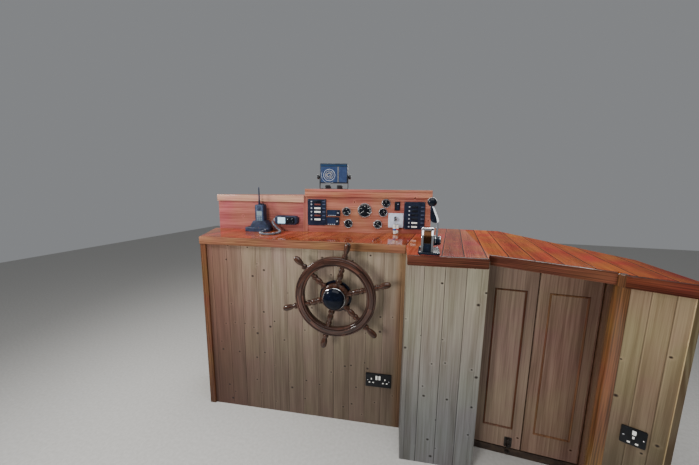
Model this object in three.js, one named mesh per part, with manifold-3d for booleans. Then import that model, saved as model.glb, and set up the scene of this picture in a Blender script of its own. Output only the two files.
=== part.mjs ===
// Wheelhouse steering console of a small wooden fishing trawler.
// Millimetres, +X to starboard, +Y forward, +Z up, origin on the deck under the middle of the console.

import * as THREE from 'three';
import { mergeVertices } from 'three/addons/utils/BufferGeometryUtils.js';
import Module from 'manifold-3d';

const wasm = await Module();
wasm.setup();

// Driving dimensions: heights above the deck
const WORKTOP_Z = 1092;      // top of the varnished worktop
const BOARD = 22;            // worktop board thickness
const LIP_DROP = 46;         // height of the edge moulding
const LIP_THICK = 16;
const DASH_PORT_Z = 1331;    // top of the low, port part of the dash
const DASH_MAIN_Z = 1375;    // top of the high, main part of the dash
const DASH_BOARD = 18;       // dash shelf and top thickness
const DASH_PLY = 12;         // dash faces, ends and backs
const SILL_Z = 38;           // locker door sill

// Driving dimensions: lining and clearances
const LINING = 18;           // tongue and groove boards of every front and side
const BOARD_PITCH = 93;      // cover width of one lining board
const FRONT_GROOVE = 2;      // width of the V between two tight boards of the port front
const GROOVE = 3.6;          // width of the V between two boards of the pedestal and the counter
const GROOVE_DEPTH = 0.5;    // share of its width
const GAP = 0.3;             // running gap between two fitted pieces
const DOOR_GAP = 5.5;        // clearance round a locker door
const DOOR_THICK = 20;
const DOOR_UNDER_LIP = 8;    // a door passes under the edge moulding as it opens

const UNDER_Z = WORKTOP_Z - BOARD;
const LIP_Z = WORKTOP_Z - LIP_DROP;
const DOOR_TOP_Z = LIP_Z - DOOR_UNDER_LIP;

// Plan of the wheelhouse side of the console, from the port front corner round to starboard
const HALF_LENGTH = 1163;
const HALF_DEPTH = 566;
const WALL = [
  [-1006, -282],
  [-HALF_LENGTH, 38],
  [-425, HALF_DEPTH],
  [790, HALF_DEPTH],
  [HALF_LENGTH, -200],
  [HALF_LENGTH, -534],
];

// The port front and the pedestal share one skewed frame: s runs along the front, t runs forward
const FRONT_ANGLE = THREE.MathUtils.degToRad(5.5);
const FRONT_FIRST_JOINT = 70;
const PEDESTAL_PORT = 1205;
const PEDESTAL_STBD = 1562;
const PEDESTAL_OUT = 196;
const PEDESTAL_OVERHANG = 48;
const PEDESTAL_TOP_STBD = 1546;
const PEDESTAL_JOINTS = [21, 79.5, 172.5, 265.5, 331];

// Locker doors and the starboard counter
const DOOR_LINE = { x: 560, y: -178, angle: THREE.MathUtils.degToRad(-2) };
const PORT_STILE = 28;
const STILE_GAP = 1.5;       // between the stile and the door hung on it
const DOOR_PORT_WIDTH = 228;
const DOOR_STBD_WIDTH = 247;
const HINGE_IN = 2.4;        // hinge pin, in from the door's edge and out from its face
const HINGE_OUT = 2;
const BARREL = { radius: 4, length: 60, aboveFoot: 120, belowTop: 154 };
const MOULD = { side: 44, bottom: 112, top: 131.5, wide: 12, proud: 6 };
const SILL_DEPTH = 60;
const LOCKER_LIP = [[570, -292], [966, -457]];
const STBD_LIP = [[967, -462], [973, -490], [HALF_LENGTH, -HALF_DEPTH]];
const NOSE_RADIUS = 45;
const NOSE_STEPS = 10;
const POST_GAP = 2.7;
const COUNTER_START = [1003, -470];
const COUNTER_JOINTS = [53.5, 113];

// Dash plan
const DASH_PORT = { x: -1135, y: 47, angle: THREE.MathUtils.degToRad(3.5), length: 640 };
const DASH_MAIN = { x: -490, y: 85, angle: THREE.MathUtils.degToRad(12.4), length: 827 };
const DASH_LIP = { thick: 14, port: 44, main: 50, proud: 2 };
const BACK_START = 35;       // the low dash closes onto the side wall from here

// Ship's wheel
const WHEEL = { s: 845, t: -110, z: 818, phase: 17 };
const SPOKES = 6;
const WHEEL_RADIUS = 300;
const RIM_OUTER = 215;
const RIM_INNER = 168;
const RIM_THICK = 38;
const RIM_EDGE = 7;
const SPOKE_AT_RIM = 12;
const RIM_BEAD = { wide: 9, groove: 3, deep: 2.5, proud: 2 };
const HUB_RADIUS = 74;
const HUB_AFT = 16;          // hub face, aft of the spokes' plane
const HUB_FORE = 22;
const HUB_EDGE = 6;
const FLANGE = { radius: 86, thick: 8 };
const SHAFT_RADIUS = 12.5;
const SHAFT_CLEAR = 8;       // hole in the lining round the shaft
const SHAFT_BEHIND = 70;     // shaft inside the console
const CAP_RADIUS = 57;
const CAP_HEIGHT = 34;
const CAP_NECK = { radius: 50, length: 18 };

// Engine control
const CONTROL = { x: 295.5, y: -306, pivotZ: 1147, dome: 60, width: 55 };
const CONTROL_BASE = { port: -39, stbd: 57, halfY: 74, thick: 10 };
const LEVER_TOP = 158;       // above the pivot
const LEVER_THICK = 24;
const ARM_THICK = 14;
const LEVER_HUB = { radius: 26, length: 34 };
const KNOB = { radius: 21.5, lean: 13, sunk: 2 };

// Small equipment, placed on the dash, the worktop and the fronts
const PLOTTER = { u: 184, depth: 62, bottom: 1415, top: 1545, half: 92, thick: 46 };
const YOKE = { aft: 26, fore: 28, plate: 5, arm: 4, armHalf: 14, armTop: 1474 };
const YOKE_FOOT = { offset: 39, half: 19, inset: 3, top: 1403 };
const YOKE_KNOB = { z: 1457, radius: 15, out: 18 };
const VHF = { u0: 437, u1: 600, z0: 1138, z1: 1198, deep: 38, corner: 16 };
const CRADLE = { front: [253, 427], back: [272, 404], aft: -98, high: 30 };
const POCKET = { wall: 9, spread: 29, top: 1164 };
const HANDHELD = { u0: 316, u1: 380, aft: -70, fore: -30, foot: 1124, top: 1270 };
const AERIAL = { u: 340, y: -50, foot: 6, tip: 4, top: 1385 };
const SOCKET_PROUD = 9;
const DOUBLE_SOCKET = { s0: 1005, s1: 1151, z0: 250, z1: 332 };
const SINGLE_SOCKET = { s0: 34, s1: 104, z0: 450, z1: 518 };

const FINISH = {
  pine: { color: 0xb9a582, roughness: 0.7, metalness: 0 },
  varnished: { color: 0x9a4a22, roughness: 0.3, metalness: 0 },
  golden: { color: 0x94602f, roughness: 0.35, metalness: 0 },
  oak: { color: 0x7a5b45, roughness: 0.55, metalness: 0 },
  wheelWood: { color: 0x6b3418, roughness: 0.3, metalness: 0 },
  black: { color: 0x16171a, roughness: 0.5, metalness: 0 },
  chrome: { color: 0xc9ccd0, roughness: 0.15, metalness: 1 },
  pale: { color: 0xd9d5cc, roughness: 0.5, metalness: 0 },
};

const helmStation = new THREE.Group();

function mesh(name, geometry, finish, parent = helmStation) {
  const piece = new THREE.Mesh(geometry, new THREE.MeshStandardMaterial(FINISH[finish]));
  piece.name = name;
  parent.add(piece);
  return piece;
}

// Joining and cutting closed meshes
function toSolid(geometry) {
  const bare = geometry.clone();
  bare.deleteAttribute('normal');
  bare.deleteAttribute('uv');
  const merged = mergeVertices(bare, 1e-4);
  return new wasm.Manifold(new wasm.Mesh({
    numProp: 3,
    vertProperties: new Float32Array(merged.attributes.position.array),
    triVerts: new Uint32Array(merged.index.array),
  }));
}

function toGeometry(solid) {
  const result = solid.getMesh();
  const geometry = new THREE.BufferGeometry();
  geometry.setAttribute('position', new THREE.BufferAttribute(result.vertProperties, 3));
  geometry.setIndex(new THREE.BufferAttribute(result.triVerts, 1));
  geometry.computeVertexNormals();
  return geometry;
}

function join(...geometries) {
  return toGeometry(geometries.map(toSolid).reduce((whole, next) => whole.add(next)));
}

function cut(geometry, ...tools) {
  return toGeometry(tools.map(toSolid).reduce((whole, tool) => whole.subtract(tool), toSolid(geometry)));
}

// Plan geometry
function ccw(points) {
  const area = points.reduce((sum, [x, y], i) => {
    const [nx, ny] = points[(i + 1) % points.length];
    return sum + x * ny - nx * y;
  }, 0);
  return area > 0 ? points : [...points].reverse();
}

function outlineShape(points) {
  return new THREE.Shape(ccw(points).map(([x, y]) => new THREE.Vector2(x, y)));
}

// A plan outline raised from z0 to z1
function prism(points, z0, z1) {
  const geometry = new THREE.ExtrudeGeometry(outlineShape(points), { depth: z1 - z0, bevelEnabled: false });
  geometry.translate(0, 0, z0);
  return geometry;
}

// An outline of X and Z carried from y0 to y1
function plate(points, y0, y1) {
  const geometry = new THREE.ExtrudeGeometry(outlineShape(points), { depth: y1 - y0, bevelEnabled: false });
  geometry.rotateX(Math.PI / 2);
  geometry.translate(0, y1, 0);
  return geometry;
}

function along([ax, ay], [bx, by]) {
  const length = Math.hypot(bx - ax, by - ay);
  return [(bx - ax) / length, (by - ay) / length];
}

function meet(p, d, q, e) {
  const k = ((q[0] - p[0]) * e[1] - (q[1] - p[1]) * e[0]) / (d[0] * e[1] - d[1] * e[0]);
  return [p[0] + d[0] * k, p[1] + d[1] * k];
}

// A line of plan points moved to its right-hand side by a distance, with mitred corners
function offset(points, distance) {
  const sides = points.slice(1).map((point, i) => {
    const d = along(points[i], point);
    return { d, p: [points[i][0] + d[1] * distance, points[i][1] - d[0] * distance] };
  });
  return points.map((point, i) => {
    if (i === 0) return sides[0].p;
    const last = sides[Math.min(i, sides.length) - 1];
    if (i === sides.length) return [point[0] + last.d[1] * distance, point[1] - last.d[0] * distance];
    return meet(last.p, last.d, sides[i].p, sides[i].d);
  });
}

// The same, with an end cut square across the console at a given X where one is given
function squareEnds(points, distance, startX, endX) {
  const moved = offset(points, distance);
  const last = points.length - 1;
  if (startX !== null) moved[0] = meet(moved[0], along(points[0], points[1]), [startX, 0], [0, 1]);
  const run = along(points[last - 1], points[last]);
  if (endX !== null) moved[last] = meet(moved[last], run, [endX, 0], [0, 1]);
  return moved;
}

function frame(x, y, z, angle, parent = helmStation) {
  const group = new THREE.Group();
  group.position.set(x, y, z);
  group.rotation.z = angle;
  parent.add(group);
  return group;
}

function box(x0, x1, y0, y1, z0, z1) {
  const geometry = new THREE.BoxGeometry(x1 - x0, y1 - y0, z1 - z0);
  geometry.translate((x0 + x1) / 2, (y0 + y1) / 2, (z0 + z1) / 2);
  return geometry;
}

// A lining of tongue and groove boards whose face looks to -Y, with a V at each joint
function lining(length, joints, groove = GROOVE, backLength = length) {
  const face = [[0, 0]];
  for (const x of joints) face.push([x - groove / 2, 0], [x, groove * GROOVE_DEPTH], [x + groove / 2, 0]);
  return prism([...face, [length, 0], [backLength, LINING], [0, LINING]], 0, UNDER_Z - GAP);
}

function evenJoints(first, length) {
  const count = Math.ceil((length - 2 * FRONT_GROOVE - first) / BOARD_PITCH);
  return Array.from({ length: count }, (_, i) => first + i * BOARD_PITCH);
}

// A turned form whose axis is Y, from an outline of radius and place along the axis
function turned(profile, segments = 24) {
  return new THREE.LatheGeometry(ccw(profile).map(([r, y]) => new THREE.Vector2(r, y)), segments);
}

// The same, with its axis turned to X
function turnedAcross(profile, segments) {
  const geometry = turned(profile, segments);
  geometry.rotateZ(-Math.PI / 2);
  return geometry;
}

const front = frame(WALL[0][0], WALL[0][1], 0, FRONT_ANGLE);

function frontPoint(s, t) {
  return [
    WALL[0][0] + s * Math.cos(FRONT_ANGLE) - t * Math.sin(FRONT_ANGLE),
    WALL[0][1] + s * Math.sin(FRONT_ANGLE) + t * Math.cos(FRONT_ANGLE),
  ];
}

// Carcass: linings behind the fronts, walls against the wheelhouse, and the pedestal
function carcass() {
  const hole = SHAFT_RADIUS + SHAFT_CLEAR;
  const shaftHole = turned([[0, -LINING], [hole, -LINING], [hole, 2 * LINING], [0, 2 * LINING]]);
  shaftHole.translate(WHEEL.s, 0, WHEEL.z);
  const portLength = PEDESTAL_PORT - GAP;
  const boards = lining(portLength, evenJoints(FRONT_FIRST_JOINT, portLength), FRONT_GROOVE);
  mesh('port_front_panel', cut(boards, shaftHole), 'pine', front);

  const inner = offset(WALL, LINING);
  const behindFront = frontPoint(0, LINING + GAP);
  const frontRun = along(frontPoint(0, 0), frontPoint(1, 0));
  inner[0] = meet(behindFront, frontRun, inner[0], along(inner[0], inner[1]));
  const names = [
    'port_end_panel', 'back_panel_port', 'back_panel_centre', 'back_panel_stbd', 'stbd_end_panel',
  ];
  names.forEach((name, i) => {
    const d = along(WALL[i], WALL[i + 1]);
    const shift = ([x, y], k) => [x + d[0] * k, y + d[1] * k];
    const outerStart = i === 0 ? meet(behindFront, frontRun, WALL[0], d) : shift(WALL[i], GAP);
    const innerStart = i === 0 ? inner[0] : shift(inner[i], GAP);
    const outline = [outerStart, shift(WALL[i + 1], -GAP), shift(inner[i + 1], -GAP), innerStart];
    mesh(name, prism(outline, 0, UNDER_Z - GAP), 'pine');
  });

  const pedestal = frame(PEDESTAL_PORT, -PEDESTAL_OUT, 0, 0, front);
  mesh('pedestal_front_panel', lining(PEDESTAL_STBD - PEDESTAL_PORT, PEDESTAL_JOINTS), 'pine', pedestal);
  mesh('pedestal_port_side', box(0, LINING, LINING + GAP, PEDESTAL_OUT + LINING, 0, UNDER_Z - GAP),
    'pine', pedestal);
  const forward = along(frontPoint(0, 0), frontPoint(0, 1));
  const backLine = [0, HALF_DEPTH - LINING - GAP];
  mesh('pedestal_stbd_side', prism([
    frontPoint(PEDESTAL_STBD - LINING, LINING + GAP - PEDESTAL_OUT),
    frontPoint(PEDESTAL_STBD, LINING + GAP - PEDESTAL_OUT),
    meet(frontPoint(PEDESTAL_STBD, 0), forward, backLine, [1, 0]),
    meet(frontPoint(PEDESTAL_STBD - LINING, 0), forward, backLine, [1, 0]),
  ], 0, UNDER_Z - GAP), 'pine');
}

// Locker: face frame, sill, two doors on hinges, and the rounded corner post beside them
function doorLeaf(width, hingeAtStart) {
  const z0 = SILL_Z + DOOR_GAP;
  const z1 = DOOR_TOP_Z;
  const ring = cut(
    box(MOULD.side, width - MOULD.side, -MOULD.proud, 1, z0 + MOULD.bottom, z1 - MOULD.top),
    box(MOULD.side + MOULD.wide, width - MOULD.side - MOULD.wide, -2 * MOULD.proud, 2,
      z0 + MOULD.bottom + MOULD.wide, z1 - MOULD.top - MOULD.wide),
  );
  const pin = hingeAtStart ? HINGE_IN : width - HINGE_IN;
  const knuckles = [z0 + BARREL.aboveFoot, z1 - BARREL.belowTop].map((z) => {
    const barrel = new THREE.CylinderGeometry(BARREL.radius, BARREL.radius, BARREL.length, 12);
    barrel.rotateX(Math.PI / 2);
    barrel.translate(pin, -HINGE_OUT, z + BARREL.length / 2);
    return barrel;
  });
  return join(box(0, width, 0, DOOR_THICK, z0, z1), ring, ...knuckles);
}

function locker() {
  const line = frame(DOOR_LINE.x, DOOR_LINE.y, 0, DOOR_LINE.angle);
  const portDoorAt = PORT_STILE + STILE_GAP;
  const stbdDoorAt = portDoorAt + DOOR_PORT_WIDTH + DOOR_GAP;
  const opening = stbdDoorAt + DOOR_STBD_WIDTH;
  const railFoot = DOOR_TOP_Z + DOOR_GAP;
  const railEnd = opening + POST_GAP - GAP;
  mesh('locker_face_frame', plate([
    [0, 0], [PORT_STILE, 0], [PORT_STILE, railFoot], [railEnd, railFoot],
    [railEnd, UNDER_Z - GAP], [0, UNDER_Z - GAP],
  ], 0, DOOR_THICK), 'oak', line);
  mesh('locker_sill', box(PORT_STILE + GAP, opening, 0, SILL_DEPTH, 0, SILL_Z), 'black', line);
  mesh('door_port', doorLeaf(DOOR_PORT_WIDTH, true), 'oak', frame(portDoorAt, 0, 0, 0, line));
  mesh('door_stbd', doorLeaf(DOOR_STBD_WIDTH, false), 'oak', frame(stbdDoorAt, 0, 0, 0, line));

  // Corner post: a board back to the door line, and a round nose that turns onto the counter front
  const aft = along(STBD_LIP[1], STBD_LIP[2]);
  const start = [
    DOOR_LINE.x + (opening + POST_GAP) * Math.cos(DOOR_LINE.angle),
    DOOR_LINE.y + (opening + POST_GAP) * Math.sin(DOOR_LINE.angle),
  ];
  const centre = [COUNTER_START[0] - aft[1] * NOSE_RADIUS, COUNTER_START[1] + aft[0] * NOSE_RADIUS];
  const toCentre = [centre[0] - start[0], centre[1] - start[1]];
  const lean = Math.atan2(toCentre[1], toCentre[0]) - Math.asin(NOSE_RADIUS / Math.hypot(...toCentre));
  const startAngle = lean - Math.PI / 2;
  const sweep = (Math.atan2(-aft[0], aft[1]) - startAngle + 2 * Math.PI) % (2 * Math.PI);
  const arc = (radius) => Array.from({ length: NOSE_STEPS + 1 }, (_, i) => {
    const a = startAngle + sweep * (i / NOSE_STEPS);
    return [centre[0] + radius * Math.cos(a), centre[1] + radius * Math.sin(a)];
  });
  const behindStart = [start[0] - Math.cos(startAngle) * LINING, start[1] - Math.sin(startAngle) * LINING];
  mesh('corner_post', prism([
    start, ...arc(NOSE_RADIUS), ...arc(NOSE_RADIUS - LINING).reverse(), behindStart,
  ], 0, UNDER_Z - GAP), 'golden');

  // Counter front, its end cut to lie along the starboard end panel
  const counterAt = [COUNTER_START[0] + aft[0] * GAP, COUNTER_START[1] + aft[1] * GAP];
  const counter = frame(counterAt[0], counterAt[1], 0, Math.atan2(aft[1], aft[0]));
  const reach = HALF_LENGTH - LINING - GAP - counterAt[0];
  const length = reach / aft[0];
  const backLength = (reach + LINING * aft[1]) / aft[0];
  mesh('stbd_counter_panel', lining(length, COUNTER_JOINTS, GROOVE, backLength), 'pine', counter);
  return counter;
}

// Worktop boards and their edge mouldings
function worktop() {
  const portEdge = PEDESTAL_PORT - 10 * GAP;
  const lipLine = -PEDESTAL_OUT - PEDESTAL_OVERHANG;
  const portSplit = frontPoint(portEdge, GAP)[0];
  const stbdSplit = LOCKER_LIP[0][0];
  mesh('worktop_port', prism([
    frontPoint(0, GAP), WALL[1], WALL[2], [portSplit - GAP, HALF_DEPTH], frontPoint(portEdge - GAP, GAP),
  ], UNDER_Z, WORKTOP_Z), 'varnished');
  mesh('worktop_pedestal', prism([
    frontPoint(portEdge, lipLine + LIP_THICK + GAP),
    frontPoint(PEDESTAL_TOP_STBD, lipLine + LIP_THICK + GAP),
    [stbdSplit - GAP, LOCKER_LIP[0][1]],
    [stbdSplit - GAP, HALF_DEPTH],
    [portSplit + GAP, HALF_DEPTH],
    frontPoint(portEdge + GAP, GAP),
  ], UNDER_Z, WORKTOP_Z), 'varnished');
  mesh('worktop_stbd', prism([
    ...squareEnds(LOCKER_LIP, -LIP_THICK - GAP, stbdSplit + GAP, null),
    ...squareEnds(STBD_LIP, -LIP_THICK - GAP, null, HALF_LENGTH),
    WALL[4],
    WALL[3],
    [stbdSplit + GAP, HALF_DEPTH],
  ], UNDER_Z, WORKTOP_Z), 'varnished');

  const lip = (outline) => prism(outline, LIP_Z, WORKTOP_Z);
  mesh('lip_port', box(0, portEdge - GAP, -LIP_THICK - GAP, -GAP, LIP_Z, WORKTOP_Z), 'varnished', front);
  mesh('lip_pedestal', box(portEdge, PEDESTAL_TOP_STBD, lipLine, lipLine + LIP_THICK, LIP_Z, WORKTOP_Z),
    'varnished', front);
  const lockerBack = squareEnds(LOCKER_LIP, -LIP_THICK, stbdSplit, null).reverse();
  mesh('lip_locker', lip([...LOCKER_LIP, ...lockerBack]), 'varnished');
  const stbdBack = squareEnds(STBD_LIP, -LIP_THICK, null, HALF_LENGTH).reverse();
  mesh('lip_stbd', lip([...STBD_LIP, ...stbdBack]), 'varnished');
}

// Dash: a low port part and a high main part, each a box with a lipped top
function dashPoint(spec, u, depth) {
  return [
    spec.x + u * Math.cos(spec.angle) - depth * Math.sin(spec.angle),
    spec.y + u * Math.sin(spec.angle) + depth * Math.cos(spec.angle),
  ];
}

function dash(portDash, mainDash) {
  const foot = WORKTOP_Z + GAP;
  const underShelf = DASH_PORT_Z - DASH_BOARD - GAP;
  const underTop = DASH_MAIN_Z - DASH_BOARD - GAP;
  mesh('dash_port_face', box(0, DASH_PORT.length, 0, DASH_PLY, foot, underShelf), 'varnished', portDash);
  const portLipFoot = DASH_PORT_Z - DASH_LIP.port;
  mesh('dash_port_lip', box(0, DASH_PORT.length, -DASH_LIP.thick, -GAP, portLipFoot, DASH_PORT_Z),
    'golden', portDash);
  mesh('dash_main_face', box(0, DASH_MAIN.length, 0, DASH_PLY, foot, underTop), 'varnished', mainDash);
  const lipTop = DASH_MAIN_Z + DASH_LIP.proud;
  mesh('dash_main_lip', box(0, DASH_MAIN.length, -DASH_LIP.thick, -GAP, lipTop - DASH_LIP.main, lipTop),
    'varnished', mainDash);

  const facet = along(WALL[1], WALL[2]);
  const facetAt = (x) => WALL[1][1] + (x - WALL[1][0]) * facet[1] / facet[0];
  const plyAcross = DASH_PLY / facet[0];
  const mainEnd = dashPoint(DASH_MAIN, DASH_MAIN.length, 0);
  const dividerX = DASH_MAIN.x;
  const shelfX = dividerX - DASH_PLY * Math.sin(DASH_MAIN.angle) - GAP;
  mesh('dash_port_shelf', prism([
    dashPoint(DASH_PORT, 0, 0), dashPoint(DASH_PORT, DASH_PORT.length, 0),
    [shelfX, facetAt(shelfX)], [DASH_PORT.x, facetAt(DASH_PORT.x)],
  ], DASH_PORT_Z - DASH_BOARD, DASH_PORT_Z), 'varnished');
  const behindFace = DASH_PLY * 1.25;
  mesh('dash_divider', box(dividerX, dividerX + DASH_PLY, dashPoint(DASH_MAIN, behindFace, behindFace)[1],
    facetAt(dividerX) - DASH_PLY * 2.2, foot, underTop), 'varnished');
  mesh('dash_main_top', prism([
    dashPoint(DASH_MAIN, 0, 0), mainEnd, [mainEnd[0], HALF_DEPTH], WALL[2], [dividerX, facetAt(dividerX)],
  ], DASH_MAIN_Z - DASH_BOARD, DASH_MAIN_Z), 'varnished');
  mesh('dash_stbd_end', box(mainEnd[0] - DASH_PLY, mainEnd[0], mainEnd[1] + DASH_PLY + GAP,
    HALF_DEPTH - DASH_PLY - GAP, foot, underTop), 'varnished');

  const closeAt = DASH_PORT.x + BACK_START;
  mesh('dash_back_port', prism([
    [closeAt, facetAt(closeAt)], [dividerX - GAP, facetAt(dividerX - GAP)],
    [dividerX - GAP, facetAt(dividerX - GAP) - plyAcross], [closeAt, facetAt(closeAt) - plyAcross],
  ], foot, underShelf), 'pine');
  const turn = offset([WALL[1], WALL[2], WALL[3]], DASH_PLY)[1];
  mesh('dash_back_main', prism([
    [dividerX + GAP, facetAt(dividerX + GAP)], WALL[2], [mainEnd[0], HALF_DEPTH],
    [mainEnd[0], HALF_DEPTH - DASH_PLY], turn, [dividerX + GAP, facetAt(dividerX + GAP) - plyAcross],
  ], foot, underTop), 'pine');
}

// Round instruments: name, place along the main dash, height, bezel radius
const DIALS = [
  { name: 'gauge_port_upper', u: 274, z: 1231, radius: 30 },
  { name: 'gauge_port_lower', u: 287, z: 1151, radius: 30 },
  { name: 'tachometer', u: 393, z: 1241, radius: 47 },
  { name: 'gauge_stbd_upper', u: 532, z: 1289, radius: 30 },
  { name: 'gauge_stbd_middle', u: 514, z: 1229, radius: 30 },
  { name: 'gauge_stbd_lower', u: 481, z: 1149, radius: 30 },
];
// Bezel outline: in from the bezel's radius, out from the dash
const BEZEL = [[1, 0], [0, 2], [2, 8], [4, 9], [6, 6]];

// Flat instruments: name, port edge, starboard edge, bottom, top, depth
const PLATES = [
  { name: 'switch_panel_port', u0: 16, u1: 138, z0: 1137, z1: 1310, deep: 14, finish: 'black' },
  { name: 'depth_display', u0: 144, u1: 231, z0: 1201, z1: 1241, deep: 16, finish: 'black' },
  { name: 'log_display', u0: 141, u1: 225, z0: 1140, z1: 1192, deep: 16, finish: 'black' },
  { name: 'ignition_plate', u0: 550, u1: 647, z0: 1131, z1: 1225, deep: 6, finish: 'pale' },
  { name: 'switch_panel_stbd', u0: 651, u1: 786, z0: 1121, z1: 1301, deep: 14, finish: 'black' },
];

function instruments(mainDash) {
  for (const dial of DIALS) {
    const rim = BEZEL.map(([inset, out]) => [dial.radius - inset, -out]);
    const body = turned([[0, 0], ...rim, [0, rim[rim.length - 1][1]]]);
    body.translate(dial.u, -GAP, dial.z);
    mesh(dial.name, body, 'chrome', mainDash);
  }
  for (const flat of PLATES) {
    mesh(flat.name, box(flat.u0, flat.u1, -flat.deep - GAP, -GAP, flat.z0, flat.z1), flat.finish, mainDash);
  }
}

// Plotter hung between the arms of its yoke, on top of the main dash
function plotter(mainDash) {
  const { u, depth, bottom, top, half, thick } = PLOTTER;
  const plateTop = DASH_MAIN_Z + YOKE.plate;
  const aft = depth - YOKE.aft;
  const fore = depth + YOKE.fore;
  const inner = half + GAP;
  const outer = inner + YOKE.arm;
  const arms = [[u - outer, u - inner], [u + inner, u + outer]].map(([u0, u1]) => (
    box(u0, u1, depth - YOKE.armHalf, depth + YOKE.armHalf, plateTop - 1, YOKE.armTop)));
  const knobs = [-1, 1].map((side) => {
    const { radius, out } = YOKE_KNOB;
    const knob = turnedAcross([[0, 0], [radius, 0], [radius, out], [0, out]], 16);
    knob.rotateZ(side > 0 ? 0 : Math.PI);
    knob.translate(u + side * (outer - 1), depth, YOKE_KNOB.z);
    return knob;
  });
  const feet = [-1, 1].map((side) => {
    const middle = u + side * YOKE_FOOT.offset;
    return box(middle - YOKE_FOOT.half, middle + YOKE_FOOT.half, aft + YOKE_FOOT.inset,
      fore - YOKE_FOOT.inset, plateTop - 1, YOKE_FOOT.top);
  });
  mesh('plotter_bracket', join(
    box(u - outer, u + outer, aft, fore, DASH_MAIN_Z + GAP, plateTop),
    ...feet, ...arms, ...knobs,
  ), 'black', mainDash);
  mesh('plotter', box(u - half, u + half, depth - thick / 2, depth + thick / 2, bottom, top),
    'black', mainDash);
}

// Radios on the port dash, and the curly cord between them
function radios(portDash) {
  const { u0, u1, z0, z1, corner } = VHF;
  mesh('vhf_radio', plate([
    [u0, z0 + corner], [u0 + corner, z0], [u1 - corner, z0], [u1, z0 + corner],
    [u1, z1 - corner], [u1 - corner, z1], [u0 + corner, z1], [u0, z1 - corner],
  ], -VHF.deep, -GAP), 'black', portDash);
  const cradleTop = WORKTOP_Z + CRADLE.high;
  const { front: [frontPort, frontStbd], back: [backPort, backStbd], aft } = CRADLE;
  const foot = prism([
    [frontPort, aft], [frontStbd, aft], [backStbd, -GAP], [backPort, -GAP],
  ], WORKTOP_Z + GAP, cradleTop);
  const { wall, spread } = POCKET;
  const left = HANDHELD.u0 - wall;
  const right = HANDHELD.u1 + wall;
  const pocket = plate([
    [left - spread, cradleTop - 1], [right + spread, cradleTop - 1],
    [right, POCKET.top], [left, POCKET.top],
  ], HANDHELD.aft - wall, HANDHELD.fore + wall);
  const body = (grown, bottom, top) => box(HANDHELD.u0 - grown, HANDHELD.u1 + grown,
    HANDHELD.aft - grown, HANDHELD.fore + grown, bottom, top);
  const well = body(GAP, HANDHELD.foot - GAP, POCKET.top + 1);
  mesh('charging_base', cut(join(foot, pocket), well), 'black', portDash);
  const height = AERIAL.top - HANDHELD.top + 3;
  const aerial = new THREE.CylinderGeometry(AERIAL.tip, AERIAL.foot, height, 12);
  aerial.rotateX(Math.PI / 2);
  aerial.translate(AERIAL.u, AERIAL.y, AERIAL.top - height / 2);
  mesh('handheld_radio', join(body(0, HANDHELD.foot, HANDHELD.top), aerial), 'black', portDash);
}

// The coils of the cord as one soft tube: out of the cradle, a loop on the worktop, up to the radio's end
const CORD_RADIUS = 7;
const CORD_STEPS = 34;
const CORD_ROUTE = [
  [-724.7, -26.9, 1109], [-724.2, -35.1, 1108], [-726.4, -49.2, 1103.5], [-731.3, -66.6, 1099.6],
  [-729.2, -84.5, 1099.4], [-712.8, -107.5, 1099.4], [-685.7, -124.9, 1099.4], [-655.3, -130, 1099.4],
  [-627.1, -115.3, 1099.4], [-617.1, -83.6, 1099.4], [-616.3, -47.5, 1099.4], [-625.3, -14, 1099.6],
  [-643.8, 8.9, 1103], [-664.5, 19.7, 1114], [-686.8, 24.3, 1131], [-705.3, 32.2, 1149],
  [-711.1, 45.9, 1163], [-706.6, 53.7, 1168], [-698.3, 54.7, 1168],
];

function curlyCord() {
  const curve = new THREE.CatmullRomCurve3(CORD_ROUTE.map((p) => new THREE.Vector3(...p)));
  const section = new THREE.Shape();
  section.absarc(0, 0, CORD_RADIUS, 0, 2 * Math.PI);
  const options = { steps: CORD_STEPS, curveSegments: 5, extrudePath: curve, bevelEnabled: false };
  return new THREE.ExtrudeGeometry(section, options);
}

// Sockets on the fronts
function sockets(counter) {
  const backPlate = ({ s0, s1, z0, z1 }) => box(s0, s1, -SOCKET_PROUD, -GAP, z0, z1);
  mesh('double_socket', backPlate(DOUBLE_SOCKET), 'black', front);
  mesh('single_socket', backPlate(SINGLE_SOCKET), 'black', counter);
}

// Engine control: a domed housing, and a lever on its starboard side whose grip cranks back over it
const ARM = [[35, 0], [46, 0], [47, 60], [46, 92], [34, 92], [36, 60]];
const GRIP = [
  [8, 100], [14, 88], [24, 83], [36, 82], [47, 90], [45, 104], [33, 132], [22, LEVER_TOP], [5, LEVER_TOP],
];

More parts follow.
